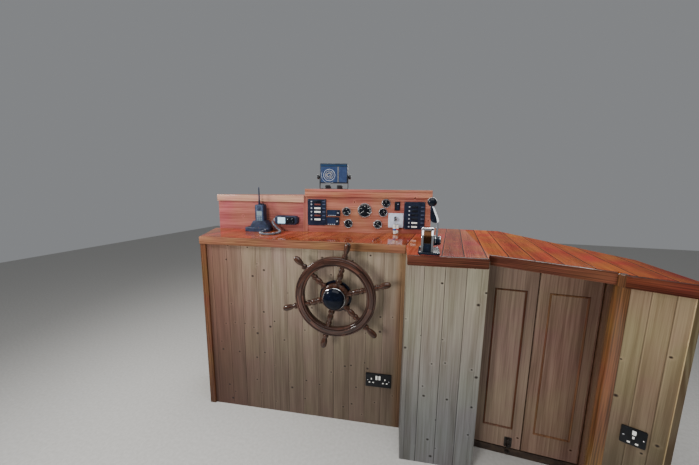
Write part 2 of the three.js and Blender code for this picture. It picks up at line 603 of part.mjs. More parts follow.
function engineControl() {
  const at = frame(CONTROL.x, CONTROL.y, 0, 0);
  const half = CONTROL.width / 2;
  const { port, stbd, halfY, thick } = CONTROL_BASE;
  const base = box(port, stbd, -halfY, halfY, WORKTOP_Z + GAP, WORKTOP_Z + thick);
  const side = new THREE.Shape();
  const foot = WORKTOP_Z + thick - 2 - CONTROL.pivotZ;
  side.moveTo(-CONTROL.dome, foot);
  side.lineTo(CONTROL.dome, foot);
  side.lineTo(CONTROL.dome, 0);
  side.absarc(0, 0, CONTROL.dome, 0, Math.PI, false);
  const across = { depth: CONTROL.width, bevelEnabled: false, curveSegments: 16 };
  const dome = new THREE.ExtrudeGeometry(side, across);
  dome.rotateX(Math.PI / 2);
  dome.rotateZ(Math.PI / 2);
  dome.translate(-half, 0, CONTROL.pivotZ);
  mesh('control_housing', join(base, dome), 'chrome', at);

  const pivot = frame(0, 0, CONTROL.pivotZ, 0, at);
  const arm = plate(ARM, -ARM_THICK / 2, ARM_THICK / 2);
  const grip = plate(GRIP, -LEVER_THICK / 2, LEVER_THICK / 2);
  const { radius, length } = LEVER_HUB;
  const hub = turnedAcross([[0, 0], [radius, 0], [radius, length], [0, length]], 24);
  hub.translate(half + GAP, 0, 0);
  mesh('control_lever', join(arm, grip, hub), 'chrome', pivot);
  const ball = new THREE.SphereGeometry(KNOB.radius, 20, 14);
  ball.translate(KNOB.lean, 0, LEVER_TOP + KNOB.radius - KNOB.sunk);
  const seat = box(-2 * KNOB.radius, 3 * KNOB.radius, -KNOB.radius, KNOB.radius, 0, LEVER_TOP + GAP);
  mesh('control_knob', cut(ball, seat), 'black', pivot);
}

// One turned spoke from hub to handle tip: distance from the centre, radius
const SPOKE = [
  { at: HUB_RADIUS - 12, r: 13 }, { at: 78, r: 13 }, { at: 83, r: 17 }, { at: 91, r: 17 }, { at: 96, r: 11 },
  { at: 112, r: 16 }, { at: 124, r: 16 }, { at: 138, r: 11 }, { at: 146, r: 15 }, { at: 156, r: 15 },
  { at: 162, r: SPOKE_AT_RIM }, { at: 222, r: SPOKE_AT_RIM }, { at: 226, r: 16 }, { at: 233, r: 16 },
  { at: 238, r: 10 }, { at: 256, r: 15 }, { at: 276, r: 17 }, { at: 292, r: 13 }, { at: WHEEL_RADIUS, r: 5 },
];
// Domed cap outline: share of the radius, share of the height; and its hollow over the shaft's end
const CAP = [[0, 1], [0.4, 0.93], [0.75, 0.7], [0.95, 0.37], [1, 0]];
const CAP_HOLLOW = 9;
const SHAFT_NOSE = 8;
// Bearing outline: radius, out from the lining
const BEARING = [[24, 30], [26, 12], [48, 10], [50, GAP]];
const BEARING_CLEAR = 0.5;

function shipsWheel() {
  const wheel = frame(WHEEL.s, WHEEL.t, 0, 0, front);
  wheel.position.z = WHEEL.z;
  const turnOf = (i) => THREE.MathUtils.degToRad(WHEEL.phase + 360 * i / SPOKES);
  const angles = Array.from({ length: SPOKES }, (_, i) => turnOf(i));
  const spokesOf = (profile) => angles.map((angle) => turnedAcross(profile, 12).rotateY(-angle));
  const bore = SHAFT_RADIUS + GAP;
  const hub = turned([
    [bore, -HUB_AFT], [HUB_RADIUS - HUB_EDGE, -HUB_AFT], [HUB_RADIUS, HUB_EDGE - HUB_AFT],
    [HUB_RADIUS, HUB_FORE - FLANGE.thick], [FLANGE.radius, HUB_FORE - FLANGE.thick],
    [FLANGE.radius, HUB_FORE], [bore, HUB_FORE], [bore, -HUB_AFT],
  ], 36);
  const spokes = spokesOf([[0, SPOKE[0].at], ...SPOKE.map(({ at, r }) => [r, at]), [0, WHEEL_RADIUS]]);
  mesh('wheel_hub_and_spokes', join(hub, ...spokes), 'wheelWood', wheel);

  const face = RIM_THICK / 2;
  const { wide, groove, deep, proud } = RIM_BEAD;
  const shoulder = face - proud;
  const aftFace = [
    [RIM_INNER, RIM_EDGE - shoulder], [RIM_INNER + RIM_EDGE, -shoulder], [RIM_INNER + wide, -shoulder],
    [RIM_INNER + wide + groove / 2, deep - shoulder], [RIM_INNER + wide + groove, -face],
    [RIM_OUTER - wide - groove, -face], [RIM_OUTER - wide - groove / 2, deep - shoulder],
    [RIM_OUTER - wide, -shoulder], [RIM_OUTER - RIM_EDGE, -shoulder], [RIM_OUTER, RIM_EDGE - shoulder],
  ];
  const foreFace = aftFace.map(([r, y]) => [r, -y]).reverse();
  const rim = turned([...aftFace, ...foreFace, aftFace[0]], 60);
  const socket = SPOKE_AT_RIM + GAP;
  const inside = RIM_INNER - 20;
  const outside = RIM_OUTER + 20;
  mesh('wheel_rim', cut(rim, ...spokesOf([[0, inside], [socket, inside], [socket, outside], [0, outside]])),
    'wheelWood', wheel);

  const shaftEnd = -WHEEL.t + SHAFT_BEHIND;
  const nose = -HUB_AFT - SHAFT_NOSE;
  const shaft = turned([[0, nose], [SHAFT_RADIUS, nose], [SHAFT_RADIUS, shaftEnd], [0, shaftEnd]]);
  mesh('wheel_shaft', shaft, 'chrome', wheel);
  const capBack = -HUB_AFT - CAP_NECK.length;
  mesh('wheel_cap', turned([
    [bore, -HUB_AFT - GAP], [bore, -HUB_AFT - CAP_HOLLOW], [0, -HUB_AFT - CAP_HOLLOW],
    ...CAP.map(([r, out]) => [r * CAP_RADIUS, capBack - out * CAP_HEIGHT]),
    [CAP_NECK.radius, capBack], [CAP_NECK.radius, -HUB_AFT - GAP], [bore, -HUB_AFT - GAP],
  ], 32), 'black', wheel);

  const inner = SHAFT_RADIUS + BEARING_CLEAR;
  const bearing = turned([[inner, -BEARING[0][1]], ...BEARING.map(([r, out]) => [r, -out]), [inner, -GAP],
    [inner, -BEARING[0][1]]], 32);
  bearing.translate(WHEEL.s, 0, WHEEL.z);
  mesh('wheel_bearing', bearing, 'black', front);
}

carcass();
const counter = locker();
worktop();
const portDash = frame(DASH_PORT.x, DASH_PORT.y, 0, DASH_PORT.angle);
const mainDash = frame(DASH_MAIN.x, DASH_MAIN.y, 0, DASH_MAIN.angle);
dash(portDash, mainDash);
instruments(mainDash);
plotter(mainDash);
radios(portDash);
mesh('vhf_cord', curlyCord(), 'black');
sockets(counter);
engineControl();
shipsWheel();

export default helmStation;
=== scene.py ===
import functools
import math

import bmesh
import bpy
from mathutils import Matrix, Vector


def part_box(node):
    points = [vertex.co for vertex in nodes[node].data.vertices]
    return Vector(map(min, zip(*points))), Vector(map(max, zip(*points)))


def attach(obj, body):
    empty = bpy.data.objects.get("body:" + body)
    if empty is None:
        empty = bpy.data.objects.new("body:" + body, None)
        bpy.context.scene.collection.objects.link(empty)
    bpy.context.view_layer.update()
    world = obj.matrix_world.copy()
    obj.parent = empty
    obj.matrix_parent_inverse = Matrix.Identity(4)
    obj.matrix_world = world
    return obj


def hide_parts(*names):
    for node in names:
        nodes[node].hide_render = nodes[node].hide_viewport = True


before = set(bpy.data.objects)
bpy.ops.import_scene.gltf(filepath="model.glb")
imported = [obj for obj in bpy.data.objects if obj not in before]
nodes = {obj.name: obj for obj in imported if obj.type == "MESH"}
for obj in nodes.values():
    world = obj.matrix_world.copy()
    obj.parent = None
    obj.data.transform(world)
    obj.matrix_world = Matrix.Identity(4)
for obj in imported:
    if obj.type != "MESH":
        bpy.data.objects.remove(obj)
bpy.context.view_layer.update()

# The eye of somebody who stands behind the wheel, a little to starboard, and looks forward and down.
# A short lens takes in the whole console from the port dash to the starboard counter.
camera = bpy.data.objects.new("camera", bpy.data.cameras.new("camera"))
camera.data.sensor_width = 36
camera.data.lens = 14.63
camera.data.clip_start = 0.02
camera.matrix_world = Matrix((
    (0.96622, -0.05061, 0.25269, 0.278),
    (0.25743, 0.14375, -0.95554, -1.667),
    (0.01204, 0.98832, 0.15193, 1.380),
    (0, 0, 0, 1),
))
bpy.context.scene.collection.objects.link(camera)
bpy.context.scene.camera = camera


# The radio's curly cord: a 2.8 mm wire in a black polyurethane jacket, coloured grey as a painted sheen,
# wound into a coil 14 mm thick.
# It leaves the front of the charging cradle, lies in a loop on the worktop and climbs to the radio's end.
def linear(code):
    """An sRGB hex colour as a linear one."""
    shares = [int(code[i:i + 2], 16) / 255 for i in (0, 2, 4)]
    return (*[c / 12.92 if c <= 0.04045 else ((c + 0.055) / 1.055) ** 2.4 for c in shares], 1)


def feed(node, *inputs, **named):
    """Fills a node's inputs, those without a name in the order of the ones in use; _ in a name is a space.
    An input is a value, another node's output, or a node, which stands for its first output in use."""
    fillings = [*zip([socket for socket in node.inputs if socket.enabled], inputs),
                *[(node.inputs[key.replace("_", " ")], value) for key, value in named.items()]]
    for socket, value in fillings:
        if isinstance(value, bpy.types.Node):
            value = next(output for output in value.outputs if output.enabled)
        if isinstance(value, bpy.types.NodeSocket):
            node.id_data.links.new(value, socket)
        else:
            socket.default_value = value


def add(material, kind, *inputs, stops=(), **named):
    """Adds a node. A name with a capital letter is an input, any other is a setting."""
    node = material.node_tree.nodes.new("ShaderNode" + kind)
    for key in [key for key in named if key.islower()]:
        setattr(node, key, named.pop(key))
    for _ in stops[2:]:
        node.color_ramp.elements.new(0.5)
    for index, (at, code) in enumerate(stops):
        node.color_ramp.elements[index].position = at
        node.color_ramp.elements[index].color = linear(code)
    feed(node, *inputs, **named)
    return node


def new_material(name):
    """An empty material, its surface shader, the call that adds a node to it, and its object coordinates."""
    material = bpy.data.materials.new(name)
    material.use_nodes = True
    node = functools.partial(add, material)
    return material, material.node_tree.nodes["Principled BSDF"], node, node("TexCoord").outputs["Object"]


# Moulded plastic, rubber and sprayed paint: a plain body with a fine grain of about half a millimetre,
# drawn at 1.2 mm so that it shows, and slightly worn and dusty where hands go.
def moulded(name, code, worn, roughness, grain=0.0012, depth=0.15, glint=0.5, **more):
    material, shader, node, place = new_material(name)
    wear = node("TexNoise", place, 38.0, 4.0, 0.6)
    feed(shader, Base_Color=node("ValToRGB", wear, stops=[(0.42, code), (0.72, worn)]),
         Roughness=node("MapRange", wear, 0.3, 0.7, roughness - 0.06, roughness + 0.1),
         Normal=node("Bump", Height=node("TexNoise", place, 1 / grain, 2.0), Strength=depth, Distance=0.0002),
         IOR=1.5, Specular_IOR_Level=glint, **more)
    return material


CORD_ROUTE = [
    (-0.7247, -0.0269, 1.109), (-0.7242, -0.0351, 1.108), (-0.7264, -0.0492, 1.1035),
    (-0.7313, -0.0666, 1.0996), (-0.7292, -0.0845, 1.0994), (-0.7128, -0.1075, 1.0994),
    (-0.6857, -0.1249, 1.0994), (-0.6553, -0.13, 1.0994), (-0.6271, -0.1153, 1.0994),
    (-0.6171, -0.0836, 1.0994), (-0.6163, -0.0475, 1.0994), (-0.6253, -0.014, 1.0996),
    (-0.6438, 0.0089, 1.103), (-0.6645, 0.0197, 1.114), (-0.6868, 0.0243, 1.131), (-0.7053, 0.0322, 1.149),
    (-0.7111, 0.0459, 1.163), (-0.7066, 0.0537, 1.168), (-0.6983, 0.0547, 1.168),
]
SPAN_STEPS = 24          # between two points of the route
WIRE = 0.0028
COIL = 0.0056            # from the coil's axis to the wire's
TURN = 0.0037            # along the axis for one turn
STEPS_A_TURN = 14
SLEEVE = 0.009           # length of the strain relief at each end
DRAWN_OUT = 0.024        # past it, where the wire opens from a straight tail into the coil
WIDE_BY = 0.7            # share of that in which the coil grows to its full width
LEAN_LAG = 1.5           # how far the wire's lean stays behind the width

knots = [Vector(point) for point in CORD_ROUTE]
knots = [knots[0] * 2 - knots[1], *knots, knots[-1] * 2 - knots[-2]]
axis_line = []
for a, b, c, d in zip(knots, knots[1:], knots[2:], knots[3:]):
    for t in [step / SPAN_STEPS for step in range(SPAN_STEPS)]:
        axis_line.append(0.5 * (2 * b + (c - a) * t + (2 * a - 5 * b + 4 * c - d) * t ** 2
                                + (3 * b - a - 3 * c + d) * t ** 3))
axis_line.append(knots[-2])
travel = [0.0]
for a, b in zip(axis_line, axis_line[1:]):
    travel.append(travel[-1] + (b - a).length)


def eased(share):
    """A share from 0 to 1 that starts and ends evenly."""
    share = max(0, min(1, share))
    return share * share * (3 - 2 * share)


# At each end the wire leans over evenly from straight to its coil's own pitch, so that it bends
# nowhere much more tightly than in the coil itself, at about two of its diameters.
coil_line = []
side = Vector((0, 0, 1))
turn = 0.0
steps = round(travel[-1] / TURN * STEPS_A_TURN)
segment = 0
for k in range(steps + 1):
    along = travel[-1] * k / steps
    while segment < len(travel) - 2 and travel[segment + 1] < along:
        segment += 1
    a, b = axis_line[segment], axis_line[segment + 1]
    forward = (b - a).normalized()
    centre = a.lerp(b, (along - travel[segment]) / (travel[segment + 1] - travel[segment]))
    side = (side - forward * side.dot(forward)).normalized()
    share = (min(along, travel[-1] - along) - SLEEVE) / DRAWN_OUT
    lean = math.atan(2 * math.pi * COIL / TURN) * eased(share) ** LEAN_LAG
    turn += math.tan(lean) / COIL * travel[-1] / steps
    opened = eased(share / WIDE_BY)
    coil_line.append(centre + COIL * opened * (side * math.cos(turn) + forward.cross(side) * math.sin(turn)))

line = bpy.data.curves.new("vhf_curly_cord", "CURVE")
line.dimensions = "3D"
line.bevel_depth = WIRE / 2
line.bevel_resolution = 1
spline = line.splines.new("POLY")
spline.points.add(len(coil_line) - 1)
for point, at in zip(spline.points, coil_line):
    point.co = (*at, 1)
# The jacket is black; its grey colour is a painted sheen of the light it reflects.
sheen_grey_jacket = moulded("cord_jacket_painted_sheen", "5a5d66", "878a94", 0.22, depth=0.05, glint=0.9)
line.materials.append(sheen_grey_jacket)
cord = bpy.data.objects.new("vhf_curly_cord", line)
bpy.context.scene.collection.objects.link(cord)
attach(cord, "console")
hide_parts("vhf_cord")


def fitted(name, parts, place, body="console", stands_for=()):
    """One piece, set in its place and fixed to a body. A part is a bmesh, its material and, where it
    doesn't start at the piece's own origin, its place on the piece."""
    mesh = bpy.data.meshes.new(name)
    whole = bmesh.new()
    for index, (part, _, *own_place) in enumerate(parts):
        bmesh.ops.remove_doubles(part, verts=part.verts, dist=1e-6)
        for matrix in (*own_place, place):
            part.transform(matrix)
        part.normal_update()
        bmesh.ops.recalc_face_normals(part, faces=part.faces)
        for face in part.faces:
            face.material_index = index
            face.smooth = True
        part.to_mesh(mesh)
        part.free()
        whole.from_mesh(mesh)
    whole.to_mesh(mesh)
    whole.free()
    for _, material, *_ in parts:
        mesh.materials.append(material)
    mesh.set_sharp_from_angle(angle=math.radians(36))
    piece = bpy.data.objects.new(name, mesh)
    bpy.context.scene.collection.objects.link(piece)
    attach(piece, body)
    if stands_for:
        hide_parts(*stands_for)


def turned(outline, steps, closed=False):
    """A form turned about Z from an outline of radius and height; a closed outline makes a ring."""
    shape = bmesh.new()
    verts = [shape.verts.new((r, 0, z)) for r, z in outline]
    pairs = list(zip(verts, verts[1:])) + ([(verts[-1], verts[0])] if closed else [])
    edges = [shape.edges.new(pair) for pair in pairs]
    bmesh.ops.spin(shape, geom=verts + edges, cent=(0, 0, 0), axis=(0, 0, 1), dvec=(0, 0, 0),
                   angle=2 * math.pi, steps=steps, use_merge=True, use_normal_flip=False, use_duplicate=False)
    bmesh.ops.remove_doubles(shape, verts=shape.verts, dist=1e-6)
    return shape


# Strain reliefs at the two ends of the curly cord: tapered sleeves with a collar and a groove, moulded
# of the jacket's own plastic and pushed over the wire.
for label, at, towards in (("cradle", 0, 1), ("radio", -1, -2)):
    sleeve = turned([(0, 0), (0.0052, 0), (0.0052, 0.002), (0.0042, 0.003), (0.0046, 0.005), (0.0036, 0.006),
                     (0.0038, 0.008), (0.0028, SLEEVE), (0, SLEEVE)], 20)
    root = Vector(CORD_ROUTE[at])
    lean = (Vector(CORD_ROUTE[towards]) - root).to_track_quat("Z", "Y").to_matrix().to_4x4()
    fitted("cord_relief_" + label, [(sleeve, sheen_grey_jacket)], Matrix.Translation(root) @ lean)

# Floor and light: a plain pale floor, an even pale sky, a wide soft light low on the port quarter and
# a small one high to port, which throw the wheel's shadow to starboard. One forward and one overhead
# gloss the varnish, and a faint one low at the doorway lifts the locker's doors.
floor_shape = bmesh.new()
bmesh.ops.create_grid(floor_shape, x_segments=1, y_segments=1, size=7)
floor_mesh = bpy.data.meshes.new("floor")
floor_shape.to_mesh(floor_mesh)
floor_shape.free()
floor = bpy.data.objects.new("floor", floor_mesh)
bpy.context.scene.collection.objects.link(floor)
pale, shader, node, place = new_material("pale_floor")
speck = node("TexNoise", place, 60.0)
feed(shader, Base_Color=node("ValToRGB", speck, stops=[(0.3, "b9b7b2"), (0.7, "c4c2be")]), Roughness=0.8)
floor_mesh.materials.append(pale)

world = bpy.data.worlds.new("pale_sky")
world.use_nodes = True
feed(world.node_tree.nodes["Background"], Color=linear("e3e6ea"), Strength=0.30)
bpy.context.scene.world = world

for label, at, target, wide, high, power in (
    ("port_quarter_low", (-0.85, -2.8, 1.32), (0.0, 0.0, 0.90), 0.8, 0.8, 55),
    ("port_side_high", (-1.9, -0.9, 1.95), (-0.1, -0.3, 0.85), 0.4, 0.4, 30),
    ("windows_forward", (0.2, 1.35, 1.82), (0.1, -0.5, 0.9), 3.2, 0.6, 30),
    ("overhead", (0.3, -0.7, 3.1), (0.3, -0.1, 0.9), 2.4, 2.0, 38),
    ("doorway_low", (0.95, -2.5, 1.10), (0.80, -0.2, 1.00), 0.9, 0.8, 10),
):
    lamp = bpy.data.lights.new(label, "AREA")
    lamp.shape = "RECTANGLE"
    lamp.size = wide
    lamp.size_y = high
    lamp.energy = power
    source = bpy.data.objects.new(label, lamp)
    bpy.context.scene.collection.objects.link(source)
    source.location = at
    source.rotation_euler = (Vector(target) - Vector(at)).to_track_quat("-Z", "Y").to_euler()
    source.visible_camera = False
    source.visible_glossy = "low" not in label


# Boards of pine: pale early wood between darker growth lines, drawn about 4 mm apart, knots every
# 15 cm or so, and each board a little different in tone. Boards meet in a dark line, and each has a
# painted highlight along its edge there. Local X runs across the boards and local Z along the grain.
def boards(name, at, turn, pitch, first, early, late, knot, tones=0.16, seam=0.0016, knots_share=0.55,
           line=0.004, contrast=0.55, ring=0.35, parted=0.75):
    """What new_material gives, and the colour of boarded wood and a height for its grain."""
    material, shader, node, whole = new_material(name)
    place = node("Mapping", whole, at, turn, vector_type="TEXTURE")
    across = node("SeparateXYZ", place).outputs["X"]
    count = node("Math", across, 1 / pitch, -first / pitch, operation="MULTIPLY_ADD")
    lot = node("TexWhiteNoise", node("Math", count, operation="FLOOR"), noise_dimensions="1D").outputs
    own = node("VectorMath", place, node("VectorMath", lot["Color"], 3.0, operation="SCALE"))
    # Knots: one candidate in each cell of 14 by 12 cm, and a bulge of the grain round it
    axes = node("SeparateXYZ", own).outputs
    cell = node("CombineXYZ", axes["X"], axes["Z"])
    cell = node("VectorMath", cell, (1 / 0.14, 1 / 0.12, 0), operation="MULTIPLY")
    spot = node("TexVoronoi", cell, 1.0, voronoi_dimensions="2D").outputs
    picked = node("SeparateColor", spot["Color"]).outputs
    chosen = node("Math", picked["Red"], knots_share, operation="LESS_THAN")
    size = node("MapRange", picked["Green"], To_Min=0.03, To_Max=0.09)
    core = node("MapRange", spot["Distance"], size, 0.02, interpolation_type="SMOOTHSTEP")
    core = node("Math", core, chosen, operation="MULTIPLY")
    halo = node("MapRange", spot["Distance"], 0.13, 0.03, interpolation_type="SMOOTHSTEP")
    halo = node("Math", halo, chosen, operation="MULTIPLY")
    # Growth lines: bands across the board, drawn out along it and pushed aside by the knots
    drift, streak, broad = [
        node("TexNoise", node("VectorMath", own, scale, operation="MULTIPLY"), 1.0, detail, rough)
        for scale, detail, rough in (((9.0, 9.0, 1.3), 2.0, 0.5), ((150.0, 150.0, 3.5), 4.0, 0.6),
                                     ((26.0, 26.0, 1.6), 3.0, 0.5))
    ]
    across = node("Math", drift, 0.055, axes["X"], operation="MULTIPLY_ADD")
    across = node("Math", halo, 0.008, across, operation="MULTIPLY_ADD")
    rings = node("Math", node("Math", across, 2 * math.pi / line, operation="MULTIPLY"), operation="SINE")
    grain = node("Math", streak, 0.6, operation="MULTIPLY")
    grain = node("Math", node("MapRange", rings, -1.0, 1.0), ring, grain, operation="MULTIPLY_ADD")
    grain = node("Math", broad, 0.7, grain, operation="MULTIPLY_ADD")
    grain = node("MapRange", grain, 0.44 + ring * 0.2, 0.86 + ring * 0.8)
    wood = node("ValToRGB", grain, stops=[(0.15, early), (0.5 + contrast * 0.4, late)])
    wood = node("HueSaturation", Color=wood,
                Hue=node("MapRange", node("TexNoise", own, 5.0, 2.0), 0.3, 0.7, 0.482, 0.518),
                Value=node("MapRange", lot["Value"], To_Min=1 - tones, To_Max=1 + tones))
    # A stain round the knots, the knots, the painted edge highlights and the joints, each over the one before
    seam /= pitch
    joint = node("Math", count, 0.5, operation="PINGPONG")
    joint = node("MapRange", joint, 1.6 * seam, 0.5 * seam, interpolation_type="SMOOTHSTEP")
    # A painted highlight along each board's edge beside the joint
    painted_edge_highlight = node("Math", count, operation="FRACT")
    painted_edge_highlight = node("MapRange", painted_edge_highlight, 3.6 * seam, 1.2 * seam, interpolation_type="SMOOTHSTEP")
    pale = (*[min(1, 1.3 * c) for c in linear(early)[:3]], 1)
    for mask, share, tint in ((halo, 0.35, pale), (core, 1.0, linear(knot)), (painted_edge_highlight, 0.5, pale),
                              (joint, parted, linear("1d120b"))):
        wood = node("Mix", node("Math", mask, share, operation="MULTIPLY"), wood, tint, data_type="RGBA")
    feed(shader, Base_Color=wood)
    return material, shader, node, whole, wood, node("Math", joint, -3.0, grain, operation="MULTIPLY_ADD")


def natural(name, at, turn, *pattern, foot="c0c0c4", painted_warm_shade_ends=(), **more):
    """Bare or matt-sealed pine: dry, with a grain that can be felt, and painted with shade that deepens
    towards the floor.
    Each end is a stretch of X over which the boards take painted warm shade and reflected light from the
    varnished wood beside them."""
    material, shader, node, place, colour, height = boards(name, at, turn, *pattern, **more)
    here = node("SeparateXYZ", place).outputs
    # The foot tint is painted shade that deepens towards the floor; each end tint is painted warm shade and
    # reflected light
    for axis, start, stop, tint in (("Z", 1.05, 0.15, foot), *(("X", *end) for end in painted_warm_shade_ends)):
        share = node("MapRange", here[axis], start, stop, interpolation_type="SMOOTHSTEP")
        colour = node("Mix", share, colour, linear(tint), data_type="RGBA", blend_type="MULTIPLY")
    feed(shader, Base_Color=colour, Normal=node("Bump", Height=height, Strength=0.35, Distance=0.0005),
         Roughness=0.58, IOR=1.5)
    return material


def varnished(name, at, turn, *pattern, coat=0.09, film_weight=1.0, **more):
    """Stained pine under several coats of yacht varnish, which ripple slightly along the grain."""
    material, shader, node, place, _, height = boards(name, at, turn, *pattern, **more)
    along = node("Mapping", place, at, turn, (1 / 40, 1 / 40, 1 / 5), vector_type="TEXTURE")
    ripple = node("TexNoise", along, 1.0, 2.0)
    feed(shader, Normal=node("Bump", Height=height, Strength=0.25, Distance=0.0004),
         Coat_Normal=node("Bump", Height=ripple, Strength=0.3, Distance=0.002), Roughness=0.45,
         Specular_IOR_Level=0.0, Coat_Weight=film_weight, Coat_Roughness=coat, Coat_IOR=1.5)
    return material


def finish(material, *names):
    """Gives CAD nodes their finish."""
    for name in names:
        nodes[name].data.materials.clear()
        nodes[name].data.materials.append(material)


def placed(at, turn=0.0, axis="Z"):
    """A place, and a turn about one axis there."""
    return Matrix.Translation(at) @ Matrix.Rotation(turn, 4, axis)


# Fronts: tongue and groove pine, secret-nailed upright to bearers and left its natural colour.
# The port front and the pedestal stand in one line, five and a half degrees off square.
BOARD = 0.093
FRONT_AT = (-1.006, -0.282, 0.0)
FRONT_TURN = math.radians(5.5)
COUNTER_AT = (1.003, -0.470, 0.0)
COUNTER_TURN = math.atan2(-0.371, 0.9286)
front = placed(FRONT_AT, FRONT_TURN)
# Each front's foot tint is painted shade towards the floor, the pedestal's with a cool painted reflection in
# it; the port front's end tints are painted warm shade and reflected light from the varnished wood beside it.
finish(natural("pine_boards_port_front", FRONT_AT, (0, 0, FRONT_TURN), BOARD, 0.070,
               "8f7f6e", "6e5e4e", "24150c", foot="aca6a4", tones=0.05, ring=0.05, contrast=0.8, parted=0.4,
               knots_share=0.85, painted_warm_shade_ends=((-0.50, -0.98, "d2aca6"), (0.13, 0.18, "ffe3c4"))), "port_front_panel")
finish(natural("pine_boards_pedestal", front @ Vector((1.205, -0.196, 0)), (0, 0, FRONT_TURN), BOARD, 0.0795,
               "978e7d", "746a59", "22140c", foot="b4c0d8", tones=0.06, ring=0.06, contrast=0.8, parted=0.6,
               knots_share=0.9), "pedestal_front_panel", "pedestal_port_side", "pedestal_stbd_side")
finish(natural("pine_boards_counter", COUNTER_AT, (0, 0, COUNTER_TURN), 0.0595, 0.0535,
               "8d7a5f", "6f5c43", "2a190c", foot="9a9ea6", tones=0.05, ring=0.05, contrast=0.8, parted=0.25,
               knots_share=0.7), "stbd_counter_panel")

# Ends and backs against the wheelhouse: the same boards, unsealed, since nobody sees them on board,
# and plain plywood, its grain lying, behind the dash.
QUARTER = math.pi / 2
PORT_BACK_TURN = math.atan2(0.528, 0.738)
for label, turn in (
    ("port_end_panel", math.atan2(0.320, -0.157)), ("back_panel_port", PORT_BACK_TURN),
    ("back_panel_centre", 0.0), ("back_panel_stbd", math.atan2(-0.766, 0.373)), ("stbd_end_panel", QUARTER),
):
    low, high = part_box(label)
    finish(natural("pine_boards_" + label, ((low.x + high.x) / 2, (low.y + high.y) / 2, 0), (0, 0, turn),
                   BOARD, 0.02, "cdb68d", "a08259", "5a3b22"), label)
for label, turn in (("dash_back_port", PORT_BACK_TURN), ("dash_back_main", 0.0)):
    low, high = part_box(label)
    finish(natural("plywood_" + label, ((low.x + high.x) / 2, high.y, 0), (0, QUARTER, turn),
                   1.2, 0.3, "c9ac80", "a5814f", "7a5430", knots_share=0.12, line=0.009), label)


# Locker beside the pedestal: a face frame of stile and head rail, and a dark sill the toes kick.
# Oak-veneered board, stained brown and brushed with a thin satin varnish.
DOOR_LINE_AT = (0.560, -0.178, 0.0)
DOOR_LINE_TURN = math.radians(-2)
door_line = placed(DOOR_LINE_AT, DOOR_LINE_TURN)


def veneer(name, at, early, late, knot="3a241a", coat=0.25):
    return varnished(name, at, (0, 0, DOOR_LINE_TURN), 1.3, -0.4, early, late, knot, coat=coat,
                     film_weight=0.35, knots_share=0.05, line=0.011, contrast=0.8, tones=0.02, ring=0.05)


finish(veneer("stained_oak_face_frame", DOOR_LINE_AT, "9a705a", "75533f"), "locker_face_frame")
finish(moulded("painted_sill_board", "2b211b", "47392e", 0.55, grain=0.004, depth=0.3), "locker_sill")

# Locker doors: flush veneered leaves with a planted bolection moulding mitred round a panel,
# hung on continuous hinges of bronzed steel. The starboard leaf has aged redder and darker.
DOOR_LOW = 0.0435
DOOR_TOP = 1.038
DOOR_PORT_START = 0.0295
PANEL_LOW = DOOR_LOW + 0.112
PANEL_TOP = DOOR_TOP - 0.1315
STILES = 0.088           # both stiles of a leaf together
PIN_SHORT = 0.004        # the hinge pin stops this short of the leaf's ends
MOULDING_STEPS = (       # in from the last edge, out from the last face
    (0.0003, 0.004), (0.0012, 0.0014), (0.0014, 0.0011), (0.002, 0.0), (0.0016, -0.001),
    (0.0016, -0.002), (0.0012, -0.0008), (0.0014, 0.0), (0.001, -0.0012), (0.0003, -0.002),
)
KNUCKLES = 25


def bevelled(shape, edges, offset, segments):
    bmesh.ops.bevel(shape, geom=edges, offset=offset, segments=segments, profile=0.5, affect="EDGES",
                    material=-1)


def block(wide, high, deep, corner=0.0, ease=0.0, at=(0, 0, 0), segments=3):
    """A block that stands on the XY plane: its upright corners rounded, then its front edge eased."""
    shape = bmesh.new()
    bmesh.ops.create_cube(shape, size=1)
    bmesh.ops.scale(shape, vec=(wide, high, deep), verts=shape.verts)
    bmesh.ops.translate(shape, vec=(at[0], at[1], at[2] + deep / 2), verts=shape.verts)
    if corner:
        upright = [e for e in shape.edges if abs((e.verts[0].co - e.verts[1].co).z) > deep * 0.5]
        bevelled(shape, upright, corner, 5)
    if ease:
        top = at[2] + deep - 1e-6
        bevelled(shape, [e for e in shape.edges if min(v.co.z for v in e.verts) > top], ease, segments)
    return shape


def faced(base, x, z, out=0.0):
    """The place of a form drawn flat: upright against a face, so far along it, up it and out from it."""
    return base @ placed((x, -out, z), QUARTER, "X")


